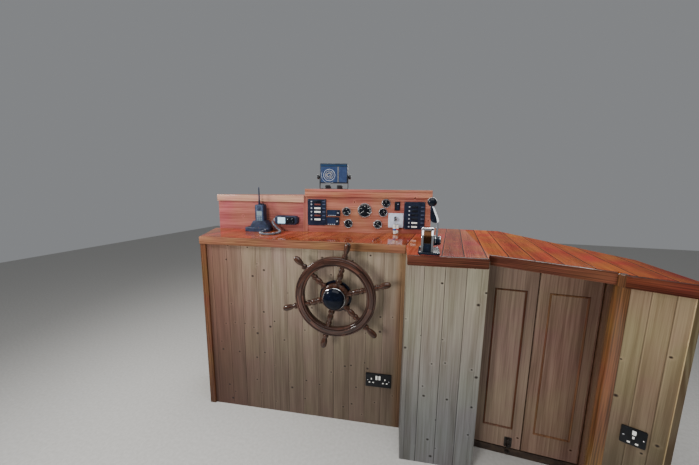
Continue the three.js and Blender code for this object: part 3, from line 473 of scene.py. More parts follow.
hinge_steel = moulded("bronzed_hinge_steel", "5c4032", "745446", 0.38, grain=0.003, depth=0.2, Metallic=0.3)
tall = DOOR_TOP - DOOR_LOW
pin_long = tall - 2 * PIN_SHORT
knuckle = pin_long / KNUCKLES
pin_outline = [(0, 0)]
for foot in [k * knuckle for k in range(KNUCKLES)]:
    pin_outline += [(0.0028, foot), (0.0034, foot + 0.0006), (0.0034, foot + knuckle - 0.0006),
                    (0.0028, foot + knuckle)]
pin_outline.append((0, pin_long))
for name, start, wide, pin, early, late, dark in (
    ("door_port", DOOR_PORT_START, 0.228, 0.0024, "836f60", "675549", ("623f30", "3c261b")),
    ("door_stbd", 0.263, 0.247, 0.2446, "816a5b", "634d41", ("7a5640", "4e3325")),
):
    place = faced(door_line, start, 0)
    leaf = block(wide, tall, 0.020, ease=0.0015, at=(wide / 2, DOOR_LOW + tall / 2, -0.020))
    moulding = block(wide - STILES, PANEL_TOP - PANEL_LOW, 0.001,
                     at=(wide / 2, (PANEL_LOW + PANEL_TOP) / 2, -0.0016))
    for thickness, rise in MOULDING_STEPS:
        face = max((f for f in moulding.faces if f.normal.z > 0.9), key=lambda f: f.calc_area())
        bmesh.ops.inset_individual(moulding, faces=[face], thickness=thickness, depth=rise)
        moulding.normal_update()
    fitted(name + "_leaf", [
        (leaf, veneer("stained_oak_veneer_" + name, place.translation, early, late)),
        (moulding, veneer("stained_moulding_" + name, place.translation, *dark, coat=0.15)),
        (turned(pin_outline, 16), hinge_steel, placed((pin, DOOR_LOW + PIN_SHORT, 0.002), -QUARTER, "X")),
    ], place, "locker_" + name, [name])

# Barrel bolt at the foot of the port leaf: black-painted steel, shot down behind its keeper when shut.
bolt_paint = moulded("black_painted_steel", "15110f", "2c2522", 0.38, grain=0.002)
BOLT_AT = 0.170          # from the port leaf's hinge edge
rod = turned([(0, 0), (0.0042, 0), (0.005, 0.001), (0.005, 0.053), (0.004, 0.0545), (0, 0.055)], 16)
knob = turned([(0, 0), (0.003, 0), (0.003, 0.006), (0.005, 0.008), (0.005, 0.011), (0.003, 0.013),
               (0, 0.0135)], 16)
fitted("door_bolt", [
    (block(0.036, 0.056, 0.0015, 0.004, 0.0004, (BOLT_AT, 0.076, 0)), bolt_paint),
    (rod, bolt_paint, placed((BOLT_AT, 0.047, 0.007), -QUARTER, "X")),
    *[(block(0.018, 0.009, 0.0125, 0.002, 0.003, (BOLT_AT, up, 0.0005)), bolt_paint)
      for up in (0.056, 0.092)],
    (knob, bolt_paint, placed((BOLT_AT, 0.074, 0.011))),
], faced(door_line, DOOR_PORT_START, 0), "locker_door_port")
fitted("bolt_keeper", [
    (block(0.024, 0.020, 0.0015, 0.003, 0.0004), bolt_paint),
    (block(0.016, 0.010, 0.012, 0.002, 0.003, (0, 0, 0.001)), bolt_paint),
], faced(door_line, DOOR_PORT_START + BOLT_AT, 0.022))

# Corner post: a board beside the locker, steamed round a nose and glossy with old varnish.
# A turned head closes the mitre of the two lips above it.
POST_START = 0.5127
NOSE = 0.045
BOARD_THICK = 0.018
UPRIGHT = 1.0697


def heading(angle, length):
    return Vector((math.cos(angle), math.sin(angle), 0)) * length


counter_run = Vector((0.9285, -0.3714, 0))
nose_centre = Vector(COUNTER_AT) + Vector((-counter_run.y, counter_run.x, 0)) * NOSE
post_start = door_line @ Vector((POST_START, 0, 0))
to_centre = nose_centre - post_start
first_angle = math.atan2(to_centre.y, to_centre.x) - math.asin(NOSE / to_centre.length) - QUARTER
sweep = (math.atan2(-counter_run.x, counter_run.y) - first_angle) % (2 * math.pi)
post = bmesh.new()
inner_start = post_start - heading(first_angle, BOARD_THICK)
verts = [post.verts.new(foot + Vector((0, 0, high)))
         for foot, high in ((post_start, 0), (inner_start, 0), (inner_start, UPRIGHT), (post_start, UPRIGHT))]
edges = [post.edges.new(pair) for pair in zip(verts, verts[1:] + verts[:1])]
straight = bmesh.ops.extrude_edge_only(post, edges=edges)["geom"]
bmesh.ops.translate(post, vec=nose_centre + heading(first_angle, NOSE) - post_start,
                    verts=[g for g in straight if isinstance(g, bmesh.types.BMVert)])
bmesh.ops.spin(post, geom=[g for g in straight if not isinstance(g, bmesh.types.BMFace)], cent=nose_centre,
               axis=(0, 0, 1), dvec=(0, 0, 0), angle=sweep, steps=20, use_merge=False,
               use_normal_flip=False, use_duplicate=False)
bmesh.ops.remove_doubles(post, verts=post.verts, dist=1e-6)
bmesh.ops.holes_fill(post, edges=[e for e in post.edges if e.is_boundary])
post_finish = varnished("golden_varnished_post", nose_centre, (0, 0, first_angle), 1.4, -0.6,
                        "6e492c", "412b1a", "2c1408", coat=0.06, knots_share=0.15, line=0.007, ring=0.12)
fitted("corner_post_board", [(post, post_finish)], placed((0, 0, 0)),
       stands_for=["corner_post"])
post_head = turned([(0, 0), (0.013, 0), (0.0145, 0.002), (0.0145, 0.044), (0.012, 0.047), (0, 0.0475)], 28)
fitted("post_head", [(post_head, post_finish)], placed((0.9715, -0.4745, 1.0462)))

# Corner bead: a varnished strip of pine with rounded outer edges, pinned down the port edge of the
# port front, where the boards stop.
bead_finish = varnished("varnished_corner_bead", FRONT_AT, (0, 0, FRONT_TURN), 1.2, -0.4,
                        "6e4832", "43281b", "2c1408", film_weight=0.4, knots_share=0.1, ring=0.15)
bead_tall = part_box("port_front_panel")[1].z - 0.002
bead = block(0.036, bead_tall, 0.010, 0.001, 0.003, (0.0185, bead_tall / 2, 0.0003))
fitted("port_corner_bead", [(bead, bead_finish)], faced(front, 0, 0))

# Worktop: pine boards 93 mm wide, run fore and aft, stained red and filled with high-gloss varnish.
# The port part has kept the thickest film, and the starboard part is worn down to a thin one.
for name, early, late, film_weight in (
    ("worktop_port", "bc683f", "7e3118", 0.9), ("worktop_pedestal", "c06644", "84351f", 0.7),
    ("worktop_stbd", "b65a2a", "6e2a0f", 0.33),
):
    finish(varnished("gloss_varnished_" + name, (0.0, 0.0, 1.092), (-QUARTER, 0, math.radians(-5)),
                     BOARD, 0.02, early, late, "3c1509", coat=0.07, film_weight=film_weight, tones=0.26,
                     seam=0.0024, parted=1.0), name)


# Edge mouldings: a flat band of wood with eased edges, glued along every free side of the worktop.
# They are varnished darker than it, all but the port one.
def ease_edges(name, width):
    """Rounds a CAD node's edges; its triangles are welded first."""
    nodes[name].modifiers.new("weld", "WELD")
    eased_edges = nodes[name].modifiers.new("eased", "BEVEL")
    eased_edges.width = width
    eased_edges.segments = 3


for name, turn, early, late in (
    ("lip_port", FRONT_TURN, "a47455", "64402f"), ("lip_pedestal", FRONT_TURN, "704231", "3b2119"),
    ("lip_locker", math.radians(-22.6), "7a4736", "41251c"), ("lip_stbd", COUNTER_TURN, "6c3926", "391c12"),
):
    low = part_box(name)[0]
    finish(varnished("gloss_varnished_" + name, (low.x, low.y, 0), (0, QUARTER, turn), 1.2, 0.3, early, late,
                     "220d06", coat=0.08, film_weight=0.5, line=0.007, ring=0.12, knots_share=0.1), name)
    ease_edges(name, 0.004)

# Dash: framed boxes of varnished ply with the grain lying, and a proud lip along each top.
# The main dash is the higher one, and stands further out of square.
PORT_DASH_AT = (-1.135, 0.047, 0.0)
PORT_DASH_TURN = math.radians(3.5)
MAIN_DASH_AT = (-0.490, 0.085, 0.0)
MAIN_DASH_TURN = math.radians(12.4)
port_dash = placed(PORT_DASH_AT, PORT_DASH_TURN)
main_dash = placed(MAIN_DASH_AT, MAIN_DASH_TURN)
for name, at, turn, early, late, coat, film_weight in (
    ("dash_port_face", PORT_DASH_AT, PORT_DASH_TURN, "a3625b", "78413c", 0.12, 0.5),
    ("dash_main_face", MAIN_DASH_AT, MAIN_DASH_TURN, "b07262", "7c4133", 0.12, 0.5),
    ("dash_divider", MAIN_DASH_AT, QUARTER, "a8644f", "7f3f2d", 0.12, 0.5),
    ("dash_stbd_end", MAIN_DASH_AT, QUARTER, "a8644f", "7f3f2d", 0.12, 0.5),
    ("dash_main_lip", MAIN_DASH_AT, MAIN_DASH_TURN, "bc7e68", "884e3c", 0.08, 0.5),
    ("dash_port_lip", PORT_DASH_AT, PORT_DASH_TURN, "c0947e", "926a58", 0.12, 0.5),
    ("dash_port_shelf", PORT_DASH_AT, 0.0, "cc7850", "944a2a", 0.10, 0.5),
    ("dash_main_top", MAIN_DASH_AT, 0.0, "cc7850", "944a2a", 0.10, 0.06),
):
    pitch = 0.4 if "face" in name else 1.2
    finish(varnished("varnished_" + name, at, (0, QUARTER, turn), pitch, -1.36, early, late, "4a2216",
                     coat=coat, film_weight=film_weight, knots_share=0.25, line=0.009, contrast=0.7,
                     ring=0.15), name)
    if "lip" in name:
        ease_edges(name, 0.003)

# Joint trim: a varnished batten with eased edges, planted over the joint where the port dash meets
# the main dash.
trim_finish = varnished("varnished_dash_batten", MAIN_DASH_AT, (0, 0, MAIN_DASH_TURN), 1.2, -0.4,
                        "a8705f", "7c4a3c", "5a2f1b", film_weight=0.3, knots_share=0.1)
fitted("dash_joint_batten", [(block(0.030, 0.234, 0.004, ease=0.0012, at=(0, 1.2095, 0)), trim_finish)],
       faced(main_dash, 0.0005, 0, 0.0001))

# Round instruments: a three-inch tachometer and five two-inch gauges, clamped in from behind the dash.
# Each is a black dial printed white, with a white pointer, in a rolled bezel of satin chrome.
DIALS = (
    # name, along, up, bezel's radius, first figure, last, step, pointer's share
    ("gauge_port_upper", 0.274, 1.231, 0.030, 40, 120, 40, 0.84),
    ("gauge_port_lower", 0.287, 1.151, 0.030, 0, 10, 5, 0.55),
    ("tachometer", 0.393, 1.241, 0.047, 0, 40, 5, 0.0),
    ("gauge_stbd_upper", 0.532, 1.289, 0.030, 8, 16, 4, 0.5),
    ("gauge_stbd_middle", 0.514, 1.229, 0.030, 0, 4, 2, 0.7),
    ("gauge_stbd_lower", 0.481, 1.149, 0.030, 0, 100, 50, 0.25),
)
SCALE_SWEEP = math.radians(250)
CLEAR = 0.0003           # between a fitting and the face behind it


def metal(name, code, roughness):
    """Bare or plated metal, its polish clouded here and there by hands and salt."""
    material, shader, node, place = new_material(name)
    gloss = node("MapRange", node("TexNoise", place, 90.0, 3.0), To_Min=max(0.02, roughness - 0.05),
                 To_Max=roughness + 0.1)
    feed(shader, Base_Color=linear(code), Metallic=1.0, Roughness=gloss)
    return material


chrome = metal("chromed_brass", "d9dbdd", 0.10)
dial_black = moulded("printed_dial_face", "0c1016", "141921", 0.45, depth=0.02, glint=0.2)
dial_white = moulded("white_screen_print", "e9ece9", "dfe3e0", 0.5, depth=0.02)
bezel_chrome = metal("satin_chromed_bezel", "d4d8de", 0.34)


def figures(text, size):
    """Upright figures as a flat mesh, centred on the origin."""
    words = bpy.data.curves.new(text, "FONT")
    words.body = text
    words.size = size
    words.extrude = 0.0001
    words.align_x = "CENTER"
    words.align_y = "CENTER"
    words.resolution_u = 2
    holder = bpy.data.objects.new(text, words)
    bpy.context.scene.collection.objects.link(holder)
    bpy.context.view_layer.update()
    shape = bmesh.new()
    evaluated = holder.evaluated_get(bpy.context.evaluated_depsgraph_get())
    shape.from_mesh(bpy.data.meshes.new_from_object(evaluated))
    bpy.data.objects.remove(holder)
    return shape


def on_scale(share):
    """The angle of a share of the scale, which runs clockwise."""
    return QUARTER + SCALE_SWEEP / 2 - SCALE_SWEEP * share


for name, along, up, radius, first, last, step, share in DIALS:
    inner = radius - 0.006
    count = (last - first) // step
    bezel = turned([(radius - 0.001, 0), (radius, 0.002), (radius - 0.0004, 0.005), (radius - 0.0016, 0.0076),
                    (radius - 0.003, 0.0088), (radius - 0.0042, 0.0088), (radius - 0.0052, 0.0078),
                    (inner, 0.0056), (inner, 0)], 48, closed=True)
    face = turned([(0, 0), (inner + 0.0005, 0), (inner + 0.0005, 0.004), (0, 0.004)], 48)
    parts = [(bezel, bezel_chrome), (face, dial_black)]
    for k in range(count * 5 + 1):
        long, thick, reach = (0.07, 0.016, 0.895) if k % 5 else (0.14, 0.036, 0.86)
        mark = block(inner * long, inner * thick, 0.0002, at=(inner * reach, 0, 0.004))
        parts.append((mark, dial_white, placed((0, 0, 0), on_scale(k / (count * 5)))))
    for k in range(0, count + 1, 2 if count > 4 else 1):
        number = figures(str(first + k * step), inner * (0.20 if count > 4 else 0.27))
        angle = on_scale(k / count)
        parts.append((number, dial_white, placed((*heading(angle, inner * 0.62).xy, 0.0041))))
    pointer = block(inner * 0.86, inner * 0.07, 0.0005, at=(inner * 0.30, 0, 0.0052))
    for vert in pointer.verts:
        if vert.co.x > 0:
            vert.co.y *= 0.25
    boss = turned([(0, 0.0042), (inner * 0.15, 0.0042), (inner * 0.15, 0.0058), (inner * 0.11, 0.0064),
                   (0, 0.0066)], 20)
    parts += [(pointer, dial_white, placed((0, 0, 0), on_scale(share))), (boss, dial_black)]
    fitted(name + "_instrument", parts, faced(main_dash, along, up, CLEAR), stands_for=[name])

# Switch panels: black anodised plates with a row for each circuit, a rocker and a push breaker.
# The labels are left blank. Rockers that are on show a white end.
panel_black = moulded("black_anodised_panel", "151c2d", "20293c", 0.5, glint=0.25)
rocker_black = moulded("gloss_black_rocker", "0f131a", "1a2029", 0.25, depth=0.05, glint=0.35)
rocker_white = moulded("white_rocker", "e8e8e2", "d5d4cc", 0.35, depth=0.05)
rocker_red = moulded("dim_red_rocker", "5c2a26", "703832", 0.35, depth=0.05)
breaker_grey = moulded("grey_breaker_button", "a4a9b2", "b8bcc4", 0.4, depth=0.05)
label_grey = moulded("blank_label_strip", "465068", "5a657e", 0.45, depth=0.05)


def screw(x, y, z, size=0.003):
    """A pan-head machine screw with its slot, left at whatever angle it came tight."""
    head = turned([(0, 0), (size, 0), (size, size * 0.3), (size * 0.75, size * 0.6), (0, size * 0.7)], 14)
    slot = block(size * 1.7, size * 0.28, size * 0.2, at=(0, 0, size * 0.56))
    place = placed((x, y, z), math.radians(17 + 1900 * (x + y)))
    return [(head, chrome, place), (slot, rocker_black, place)]


for label, (u0, u1, z0, z1), button_at, key_at, key_wide, rows in (
    ("switch_panel_port", (0.016, 0.138, 1.137, 1.310), 0.042, 0.081, 0.044, (
        (1.294, rocker_black), (1.276, rocker_red), (1.251, rocker_white), (1.227, rocker_white),
        (1.2025, rocker_red), (1.177, rocker_white))),
    ("switch_panel_stbd", (0.651, 0.786, 1.121, 1.301), 0.684, 0.7185, 0.037, (
        (1.268, rocker_black), (1.242, rocker_black), (1.216, rocker_black), (1.190, rocker_black),
        (1.164, rocker_white), (1.138, rocker_white))),
):
    wide, high = u1 - u0, z1 - z0
    parts = [(block(wide, high, 0.0085, 0.004, 0.0015, (wide / 2, high / 2, 0)), panel_black)]
    for inset_x in (0.006, wide - 0.006):
        for inset_y in (0.006, high - 0.006):
            parts += screw(inset_x, inset_y, 0.0085, 0.0028)
    for at, material in rows:
        y = at - z0
        button = turned([(0, 0), (0.0052, 0), (0.0052, 0.0015), (0.004, 0.0018), (0.004, 0.0042),
                         (0.0032, 0.0048), (0, 0.0048)], 18)
        parts += [
            (block(key_wide + 0.004, 0.0145, 0.0015, 0.001, 0.0004, (key_at - u0, y, 0.0083)), rocker_black),
            (block(key_wide, 0.0105, 0.004, 0.0008, 0.0007), material,
             placed((key_at - u0, y, 0.0089), math.radians(-9), "Y")),
            (button, breaker_grey, placed((button_at - u0, y, 0.0084))),
            (block(wide * 0.15, 0.005, 0.0004, ease=0.0001, at=(wide * 0.88, y, 0.0084)), label_grey),
        ]
    fitted(label + "_unit", parts, faced(main_dash, u0, z0, CLEAR), stands_for=[label])

# Two small displays, one above the other: moulded cases with dark glass windows, switched off, and
# three keys beside and four below each window.
dark_glass = moulded("dark_display_glass", "1c2840", "27344f", 0.08, depth=0.0)
for label, (u0, u1, z0, z1) in (("depth_display", (0.144, 0.231, 1.201, 1.241)),
                                ("log_display", (0.141, 0.225, 1.140, 1.192))):
    wide, high = u1 - u0, z1 - z0
    fitted(label + "_unit", [
        (block(wide, high, 0.016, 0.005, 0.002, (wide / 2, high / 2, 0)), panel_black),
        (block(wide * 0.60, high * 0.62, 0.0006, 0.002, at=(wide * 0.40, high * 0.54, 0.0156)), dark_glass),
        *[(block(wide * 0.13, high * 0.16, 0.0012, 0.001, 0.0003, (wide * 0.85, high * up, 0.0156)), material)
          for up, material in ((0.26, rocker_black), (0.52, breaker_grey), (0.78, rocker_black))],
        *[(block(wide * 0.10, high * 0.10, 0.001, at=(wide * along, high * 0.12, 0.0156)), breaker_grey)
          for along in (0.16, 0.32, 0.48, 0.64)],
    ], faced(main_dash, u0, z0, CLEAR), stands_for=[label])

# Ignition plate: white laminate with a black key switch, the key in it, and two floats on its ring.
# Above it sits a black louvred rocker for the horn.
plate_white = moulded("white_laminate_plate", "c8d0e0", "b4bdcd", 0.35, depth=0.05)
key_metal = metal("nickelled_key_brass", "c8c5ba", 0.25)
float_foam = moulded("white_float_foam", "d8d6d0", "c4c0b8", 0.6)
float_blue = moulded("blue_float_band", "2e4a86", "3a5692", 0.5)
float_red = moulded("red_float_band", "a63a34", "b34a42", 0.5)


def hoop(radius, thick, steps):
    """A ring of round wire."""
    return turned([(radius + thick * math.cos(math.pi * k / 4), thick * math.sin(math.pi * k / 4))
                   for k in range(8)], steps, closed=True)


def band(inner, outer, low, high, steps):
    """A ring of square section."""
    return turned([(inner, low), (outer, low), (outer, high), (inner, high)], steps, closed=True)


KEY_AT = (0.046, 0.057, 0.0058)
nose = turned([(0, 0.0038), (0.0062, 0.0038), (0.006, 0.009), (0.0052, 0.0098), (0, 0.01)], 20)
parts = [(block(0.097, 0.094, 0.006, 0.003, 0.001, (0.0485, 0.047, 0)), plate_white)]
for x in (0.006, 0.091):
    for y in (0.006, 0.088):
        parts += screw(x, y, 0.0059, 0.0022)
parts += [
    (block(0.015, 0.034, 0.004, 0.0074, 0.001), rocker_black, placed(KEY_AT)),
    (nose, rocker_black, placed(KEY_AT)),
    (block(0.0018, 0.0075, 0.008, at=(0, 0, 0.0095)), key_metal, placed(KEY_AT)),
    (block(0.0026, 0.024, 0.026, 0.0009, 0.0006, (0, 0, 0.017)), key_metal, placed(KEY_AT)),
    (hoop(0.0135, 0.0009, 28), key_metal, placed((KEY_AT[0], 0.0365, 0.04), math.radians(62), "Y")),
]
for aside, top, tall, r, lean, tint in ((-0.0095, 0.0245, 0.062, 0.0115, 5, float_blue),
                                        (0.013, 0.023, 0.056, 0.0095, -7, float_red)):
    hung = placed((KEY_AT[0] + aside, top, 0.042), math.radians(lean)) @ Matrix.Rotation(QUARTER, 4, "X")
    body = turned([(0, 0), (r * 0.5, 0), (r * 0.9, 0.0022), (r, 0.005), (r, tall - 0.005),
                   (r * 0.9, tall - 0.0022), (r * 0.5, tall), (0, tall)], 24)
    parts += [(body, float_foam, hung),
              (band(r - 0.001, r + 0.0004, tall * 0.42, tall * 0.62, 24), tint, hung),
              (hoop(0.003, 0.0008, 16), key_metal, hung @ placed((0, 0, -0.002), QUARTER, "X"))]
fitted("ignition_panel", parts, faced(main_dash, 0.550, 1.131, CLEAR),
       stands_for=["ignition_plate"])
fitted("horn_rocker", [
    (block(0.036, 0.058, 0.006, 0.003, 0.001), rocker_black),
    (block(0.014, 0.046, 0.003, 0.002, 0.0008, (0.004, 0, 0.0058)), panel_black),
    *[(block(0.010, 0.0028, 0.0014, ease=0.0005, at=(0.004, -0.018 + 0.006 * k, 0.0086)),
       breaker_grey if k == 5 else panel_black) for k in range(7)],
], faced(main_dash, 0.606, 1.272, CLEAR))

# Plotter: a die-cast case hung between the arms of a cast yoke, clamped by a knob at either end.
# Its window shows range rings beside a plain data strip; cooling fins stand on the back.
case_navy = moulded("navy_powder_coated_case", "1c2430", "27303d", 0.45)
screen_blue = moulded("lit_chart_window", "2a3a5c", "384b6c", 0.12, depth=0.0)
strip_blue = moulded("plain_data_strip", "2f3e60", "3c4d70", 0.12, depth=0.0)
strip_navy = moulded("dark_top_strip", "1a3350", "203a58", 0.12, depth=0.0)
ring_line = moulded("range_ring_line", "a9aeb6", "b9bec6", 0.3, depth=0.0)
echo_line = moulded("echo_trace", "96948f", "a8a49e", 0.3, depth=0.0)
PLOTTER_DEEP = 0.046
RINGS_AT = (-0.030, 0.054, 0.0009)
arc = bmesh.new()
arc_start = arc.edges.new((arc.verts.new((0.0515, 0, 0.0012)), arc.verts.new((0.053, 0, 0.0012))))
bmesh.ops.spin(arc, geom=[*arc_start.verts, arc_start], cent=(0, 0, 0), axis=(0, 0, 1), dvec=(0, 0, 0),
               angle=math.radians(150), steps=30, use_merge=False, use_normal_flip=False, use_duplicate=False)
bmesh.ops.solidify(arc, geom=arc.faces[:], thickness=0.0003)
fitted("plotter_unit", [
    (block(0.184, 0.130, PLOTTER_DEEP, 0.006, 0.004, (0, 0.065, -PLOTTER_DEEP)), case_navy),
    (block(0.176, 0.122, 0.0012, 0.004, 0.0006, (0, 0.065, -0.0006)), case_navy),
    (block(0.172, 0.012, 0.0006, 0.002, at=(0, 0.1165, 0.0004)), strip_navy),
    (block(0.112, 0.100, 0.0006, 0.002, at=(-0.030, 0.0575, 0.0004)), screen_blue),
    (block(0.052, 0.100, 0.0006, 0.002, at=(0.060, 0.0575, 0.0004)), strip_blue),
    (block(0.0036, 0.100, 0.0005, at=(0.0285, 0.0575, 0.0006)), echo_line),
    *[(band(r - 0.0014, r + 0.0014, 0, rise, 64), tint, placed(RINGS_AT)) for r, rise, tint in (
        (0.0375, 0.0003, ring_line), (0.026, 0.0002, echo_line), (0.014, 0.0002, echo_line))],
    (arc, ring_line, placed((*RINGS_AT[:2], 0), math.radians(150))),
    *[(block(long, 0.0022, 0.0003), echo_line, placed((x, y, RINGS_AT[2]), math.radians(turn)))
      for turn, long, x, y in ((25, 0.030, -0.036, 0.062), (31, 0.040, -0.028, 0.050),
                               (58, 0.022, -0.020, 0.068), (-20, 0.024, -0.042, 0.046),
                               (8, 0.020, -0.016, 0.040), (75, 0.016, -0.047, 0.058))],
    *[(block(0.001, 0.096, 0.0002, at=(0.042 + 0.009 * k, 0.0575, 0.0009)), strip_navy) for k in range(5)],
    *[(block(0.0025, 0.096, 0.004, ease=0.001, at=(-0.064 + 0.016 * k, 0, 0)), case_navy,
       placed((0, 0.067, 0.0004 - PLOTTER_DEEP), math.pi, "Y")) for k in range(9)],
], faced(main_dash, 0.184, 1.415, -0.039), stands_for=["plotter"])

yoke_steel = moulded("black_yoke_casting", "131417", "232529", 0.4)
YOKE_AT = (0.184, 0.062, 1.379)
parts = [(block(0.200, 0.054, 0.0047, 0.010, 0.0015, (YOKE_AT[0], 0.063, 1.3753)), yoke_steel)]
for side in (-1, 1):
    arm = block(0.004, 0.028, 0.0945)
    bevelled(arm, [e for e in arm.edges if min(v.co.z for v in e.verts) > 0.09
                   and abs(e.verts[0].co.x - e.verts[1].co.x) > 0.003], 0.0125, 6)
    knob = turned([(0, 0), (0.0105, 0), (0.0105, 0.004), (0.015, 0.006), (0.015, 0.015), (0.0135, 0.0175),
                   (0, 0.018)], 12)
    shoe = block(0.038, 0.048, 0.024, 0.006, 0.003, (side * 0.039, 0.001, 0))
    parts += [
        (arm, yoke_steel, placed(YOKE_AT) @ placed((side * 0.0943, 0, 0))),
        (knob, yoke_steel, placed(YOKE_AT) @ placed((side * 0.0953, 0, 0.078), side * QUARTER, "Y")),
        (shoe, yoke_steel, placed(YOKE_AT)),
        *screw(YOKE_AT[0] + side * 0.078, 0.063, 1.3799, 0.0045),
    ]
fitted("plotter_yoke", parts, main_dash, stands_for=["plotter_bracket"])

# Fixed radio: a weatherproof moulded case, round-ended, flush against the dash on hidden studs.
# The lit window is at port, a large selector and a smaller volume knob beside it.
radio_black = moulded("black_asa_radio_case", "1d2434", "2d3650", 0.42, glint=0.35)
lit_window = moulded("backlit_radio_window", "a8cfe4", "bcdcec", 0.2, depth=0.0,
                     Emission_Color=linear("9cc6dc"), Emission_Strength=0.75)
plug_grey = moulded("pale_plug_collar", "9b9d9f", "b3b5b6", 0.4)
collar = turned([(0, -0.004), (0.0115, -0.004), (0.0122, -0.001), (0.012, 0.003), (0.010, 0.007),
                 (0.0078, 0.009), (0, 0.009)], 24)
parts = [
    (block(0.163, 0.060, 0.0377, 0.024, 0.009, segments=4), radio_black),
    (block(0.126, 0.046, 0.001, 0.010, 0.0005, (0.002, 0, 0.0372)), rocker_black),
    (block(0.052, 0.040, 0.0006, 0.003, at=(-0.0285, -0.001, 0.038)), lit_window),
    (collar, plug_grey, placed((-0.0815, 0, 0.0187), -QUARTER, "Y")),
]
for x, y, r, rise in ((0.019, 0.003, 0.0125, 0.010), (0.050, 0.008, 0.0085, 0.009),
                      (0.050, -0.013, 0.0055, 0.004)):
    knob = turned([(0, 0), (r, 0), (r, rise * 0.2), (r * 0.93, rise * 0.3), (r * 0.88, rise * 0.85),
                   (r * 0.78, rise), (0, rise)], 24)
    parts += [(knob, rocker_black, placed((x, y, 0.0378))),
              (block(r * 0.12, r * 0.55, 0.0004, at=(x, y + r * 0.45, 0.0377 + rise)), dial_white)]
for x in (-0.0575, -0.043, -0.0285, -0.014):
    parts.append((block(0.0075, 0.0042, 0.0014, 0.001, 0.0004, (x, -0.0245, 0.035)), breaker_grey))
fitted("vhf_set", parts, faced(port_dash, 0.5185, 1.168, CLEAR), stands_for=["vhf_radio"])

# Charging cradle: a broad moulded foot that stands on the worktop, with a raised pocket for the handset.
WORKTOP = 1.0923         # its face, with a hair's breadth under what stands on it
HANDSET_AT = 0.348


def raised(outline, depth, ease=0.0, segments=3):
    """A flat outline carried up by a depth, with its upper edges eased."""
    shape = bmesh.new()
    face = shape.faces.new([shape.verts.new((x, y, 0)) for x, y in outline])
    grown = bmesh.ops.extrude_face_region(shape, geom=[face])["geom"]
    top = [g for g in grown if isinstance(g, bmesh.types.BMVert)]
    bmesh.ops.translate(shape, vec=(0, 0, depth), verts=top)
    bmesh.ops.holes_fill(shape, edges=[e for e in shape.edges if e.is_boundary])
    bmesh.ops.recalc_face_normals(shape, faces=shape.faces)
    if ease:
        rim = [e for e in shape.edges if min(v.co.z for v in e.verts) > depth - 1e-6]
        bevelled(shape, rim, ease, segments)
    return shape


foot = raised([(0.253, -0.090), (0.261, -0.098), (0.419, -0.098), (0.427, -0.090), (0.407, -0.006),
               (0.400, -CLEAR), (0.276, -CLEAR), (0.270, -0.006)], 0.0297, 0.008, 4)
pocket = block(0.140, 0.066, 0.0437, 0.010, 0.004, segments=4)
for vert in pocket.verts:
    vert.co.x *= 1 - 0.40 * vert.co.z / 0.0437
lamp = turned([(0, 0), (0.0028, 0), (0.0026, 0.0012), (0, 0.0016)], 16)
gland = turned([(0, -0.004), (0.0085, -0.004), (0.0085, 0), (0.0068, 0.002), (0, 0.002)], 20)
fitted("cradle_unit", [
    (foot, radio_black),
    (pocket, radio_black, placed((HANDSET_AT, -0.050, 0.028))),
    *[(block(0.003, 0.040, 0.0016, ease=0.0006, at=(0.263 + 0.0045 * k, -0.050, 0.029)), panel_black)
      for k in range(6)],
    (lamp, float_red, placed((0.352, -0.0905, 0.0285))),
    (gland, panel_black, placed((0.405, -0.0975, 0.0167), QUARTER, "X")),
], port_dash @ placed((0, 0, WORKTOP)), stands_for=["charging_base"])

# Hand-held radio: rubber-edged case standing in the cradle, whip aerial, two knobs, a small grey window,
# a slotted loudspeaker and three rows of keys.
handset_grey = moulded("slate_handset_front", "2e3b54", "42526e", 0.42)
handset_window = moulded("grey_handset_window", "6f7f86", "7f8e94", 0.18, depth=0.0)
whip = turned([(0, 0), (0.0062, 0), *[(0.0062 - 0.0005 * (k % 2), 0.002 + 0.003 * k) for k in range(8)],
               (0.0052, 0.026), (0.004, 0.104), (0.0042, 0.112), (0.003, 0.1155), (0, 0.116)], 16)
fitted("handset_unit", [
    (block(0.064, 0.146, 0.040, 0.009, 0.005, (0, 0.073, 0)), radio_black),
    (block(0.050, 0.122, 0.001, 0.006, 0.0006, (0, 0.080, 0.0395)), handset_grey),
    (block(0.038, 0.030, 0.0006, 0.002, at=(0, 0.088, 0.0404)), handset_window),
    *[(block(0.030 - 0.002 * abs(k - 3), 0.002, 0.0005, at=(0, 0.109 + 0.0042 * k, 0.0403)), rocker_black)
      for k in range(7)],
    *[(block(0.0105, 0.0066, 0.0012, 0.002, 0.0004, (x, y, 0.0403)), handset_window)
      for y in (0.044, 0.0545, 0.065) for x in (-0.0135, 0, 0.0135)],
    *[(turned([(0, 0), (r, 0), (r, rise * 0.8), (r * 0.8, rise), (0, rise)], 16), rocker_black,
       placed((x, 0.145, 0.020), -QUARTER, "X"))
      for x, r, rise in ((0.006, 0.0075, 0.009), (0.021, 0.0062, 0.008))],
    (whip, radio_black, placed((-0.008, 0.145, 0.020), -QUARTER, "X")),
    (block(0.022, 0.060, 0.004, 0.004, at=(0, 0.080, -0.004)), panel_black),
], faced(port_dash, HANDSET_AT, 1.124, 0.030), stands_for=["handheld_radio"])

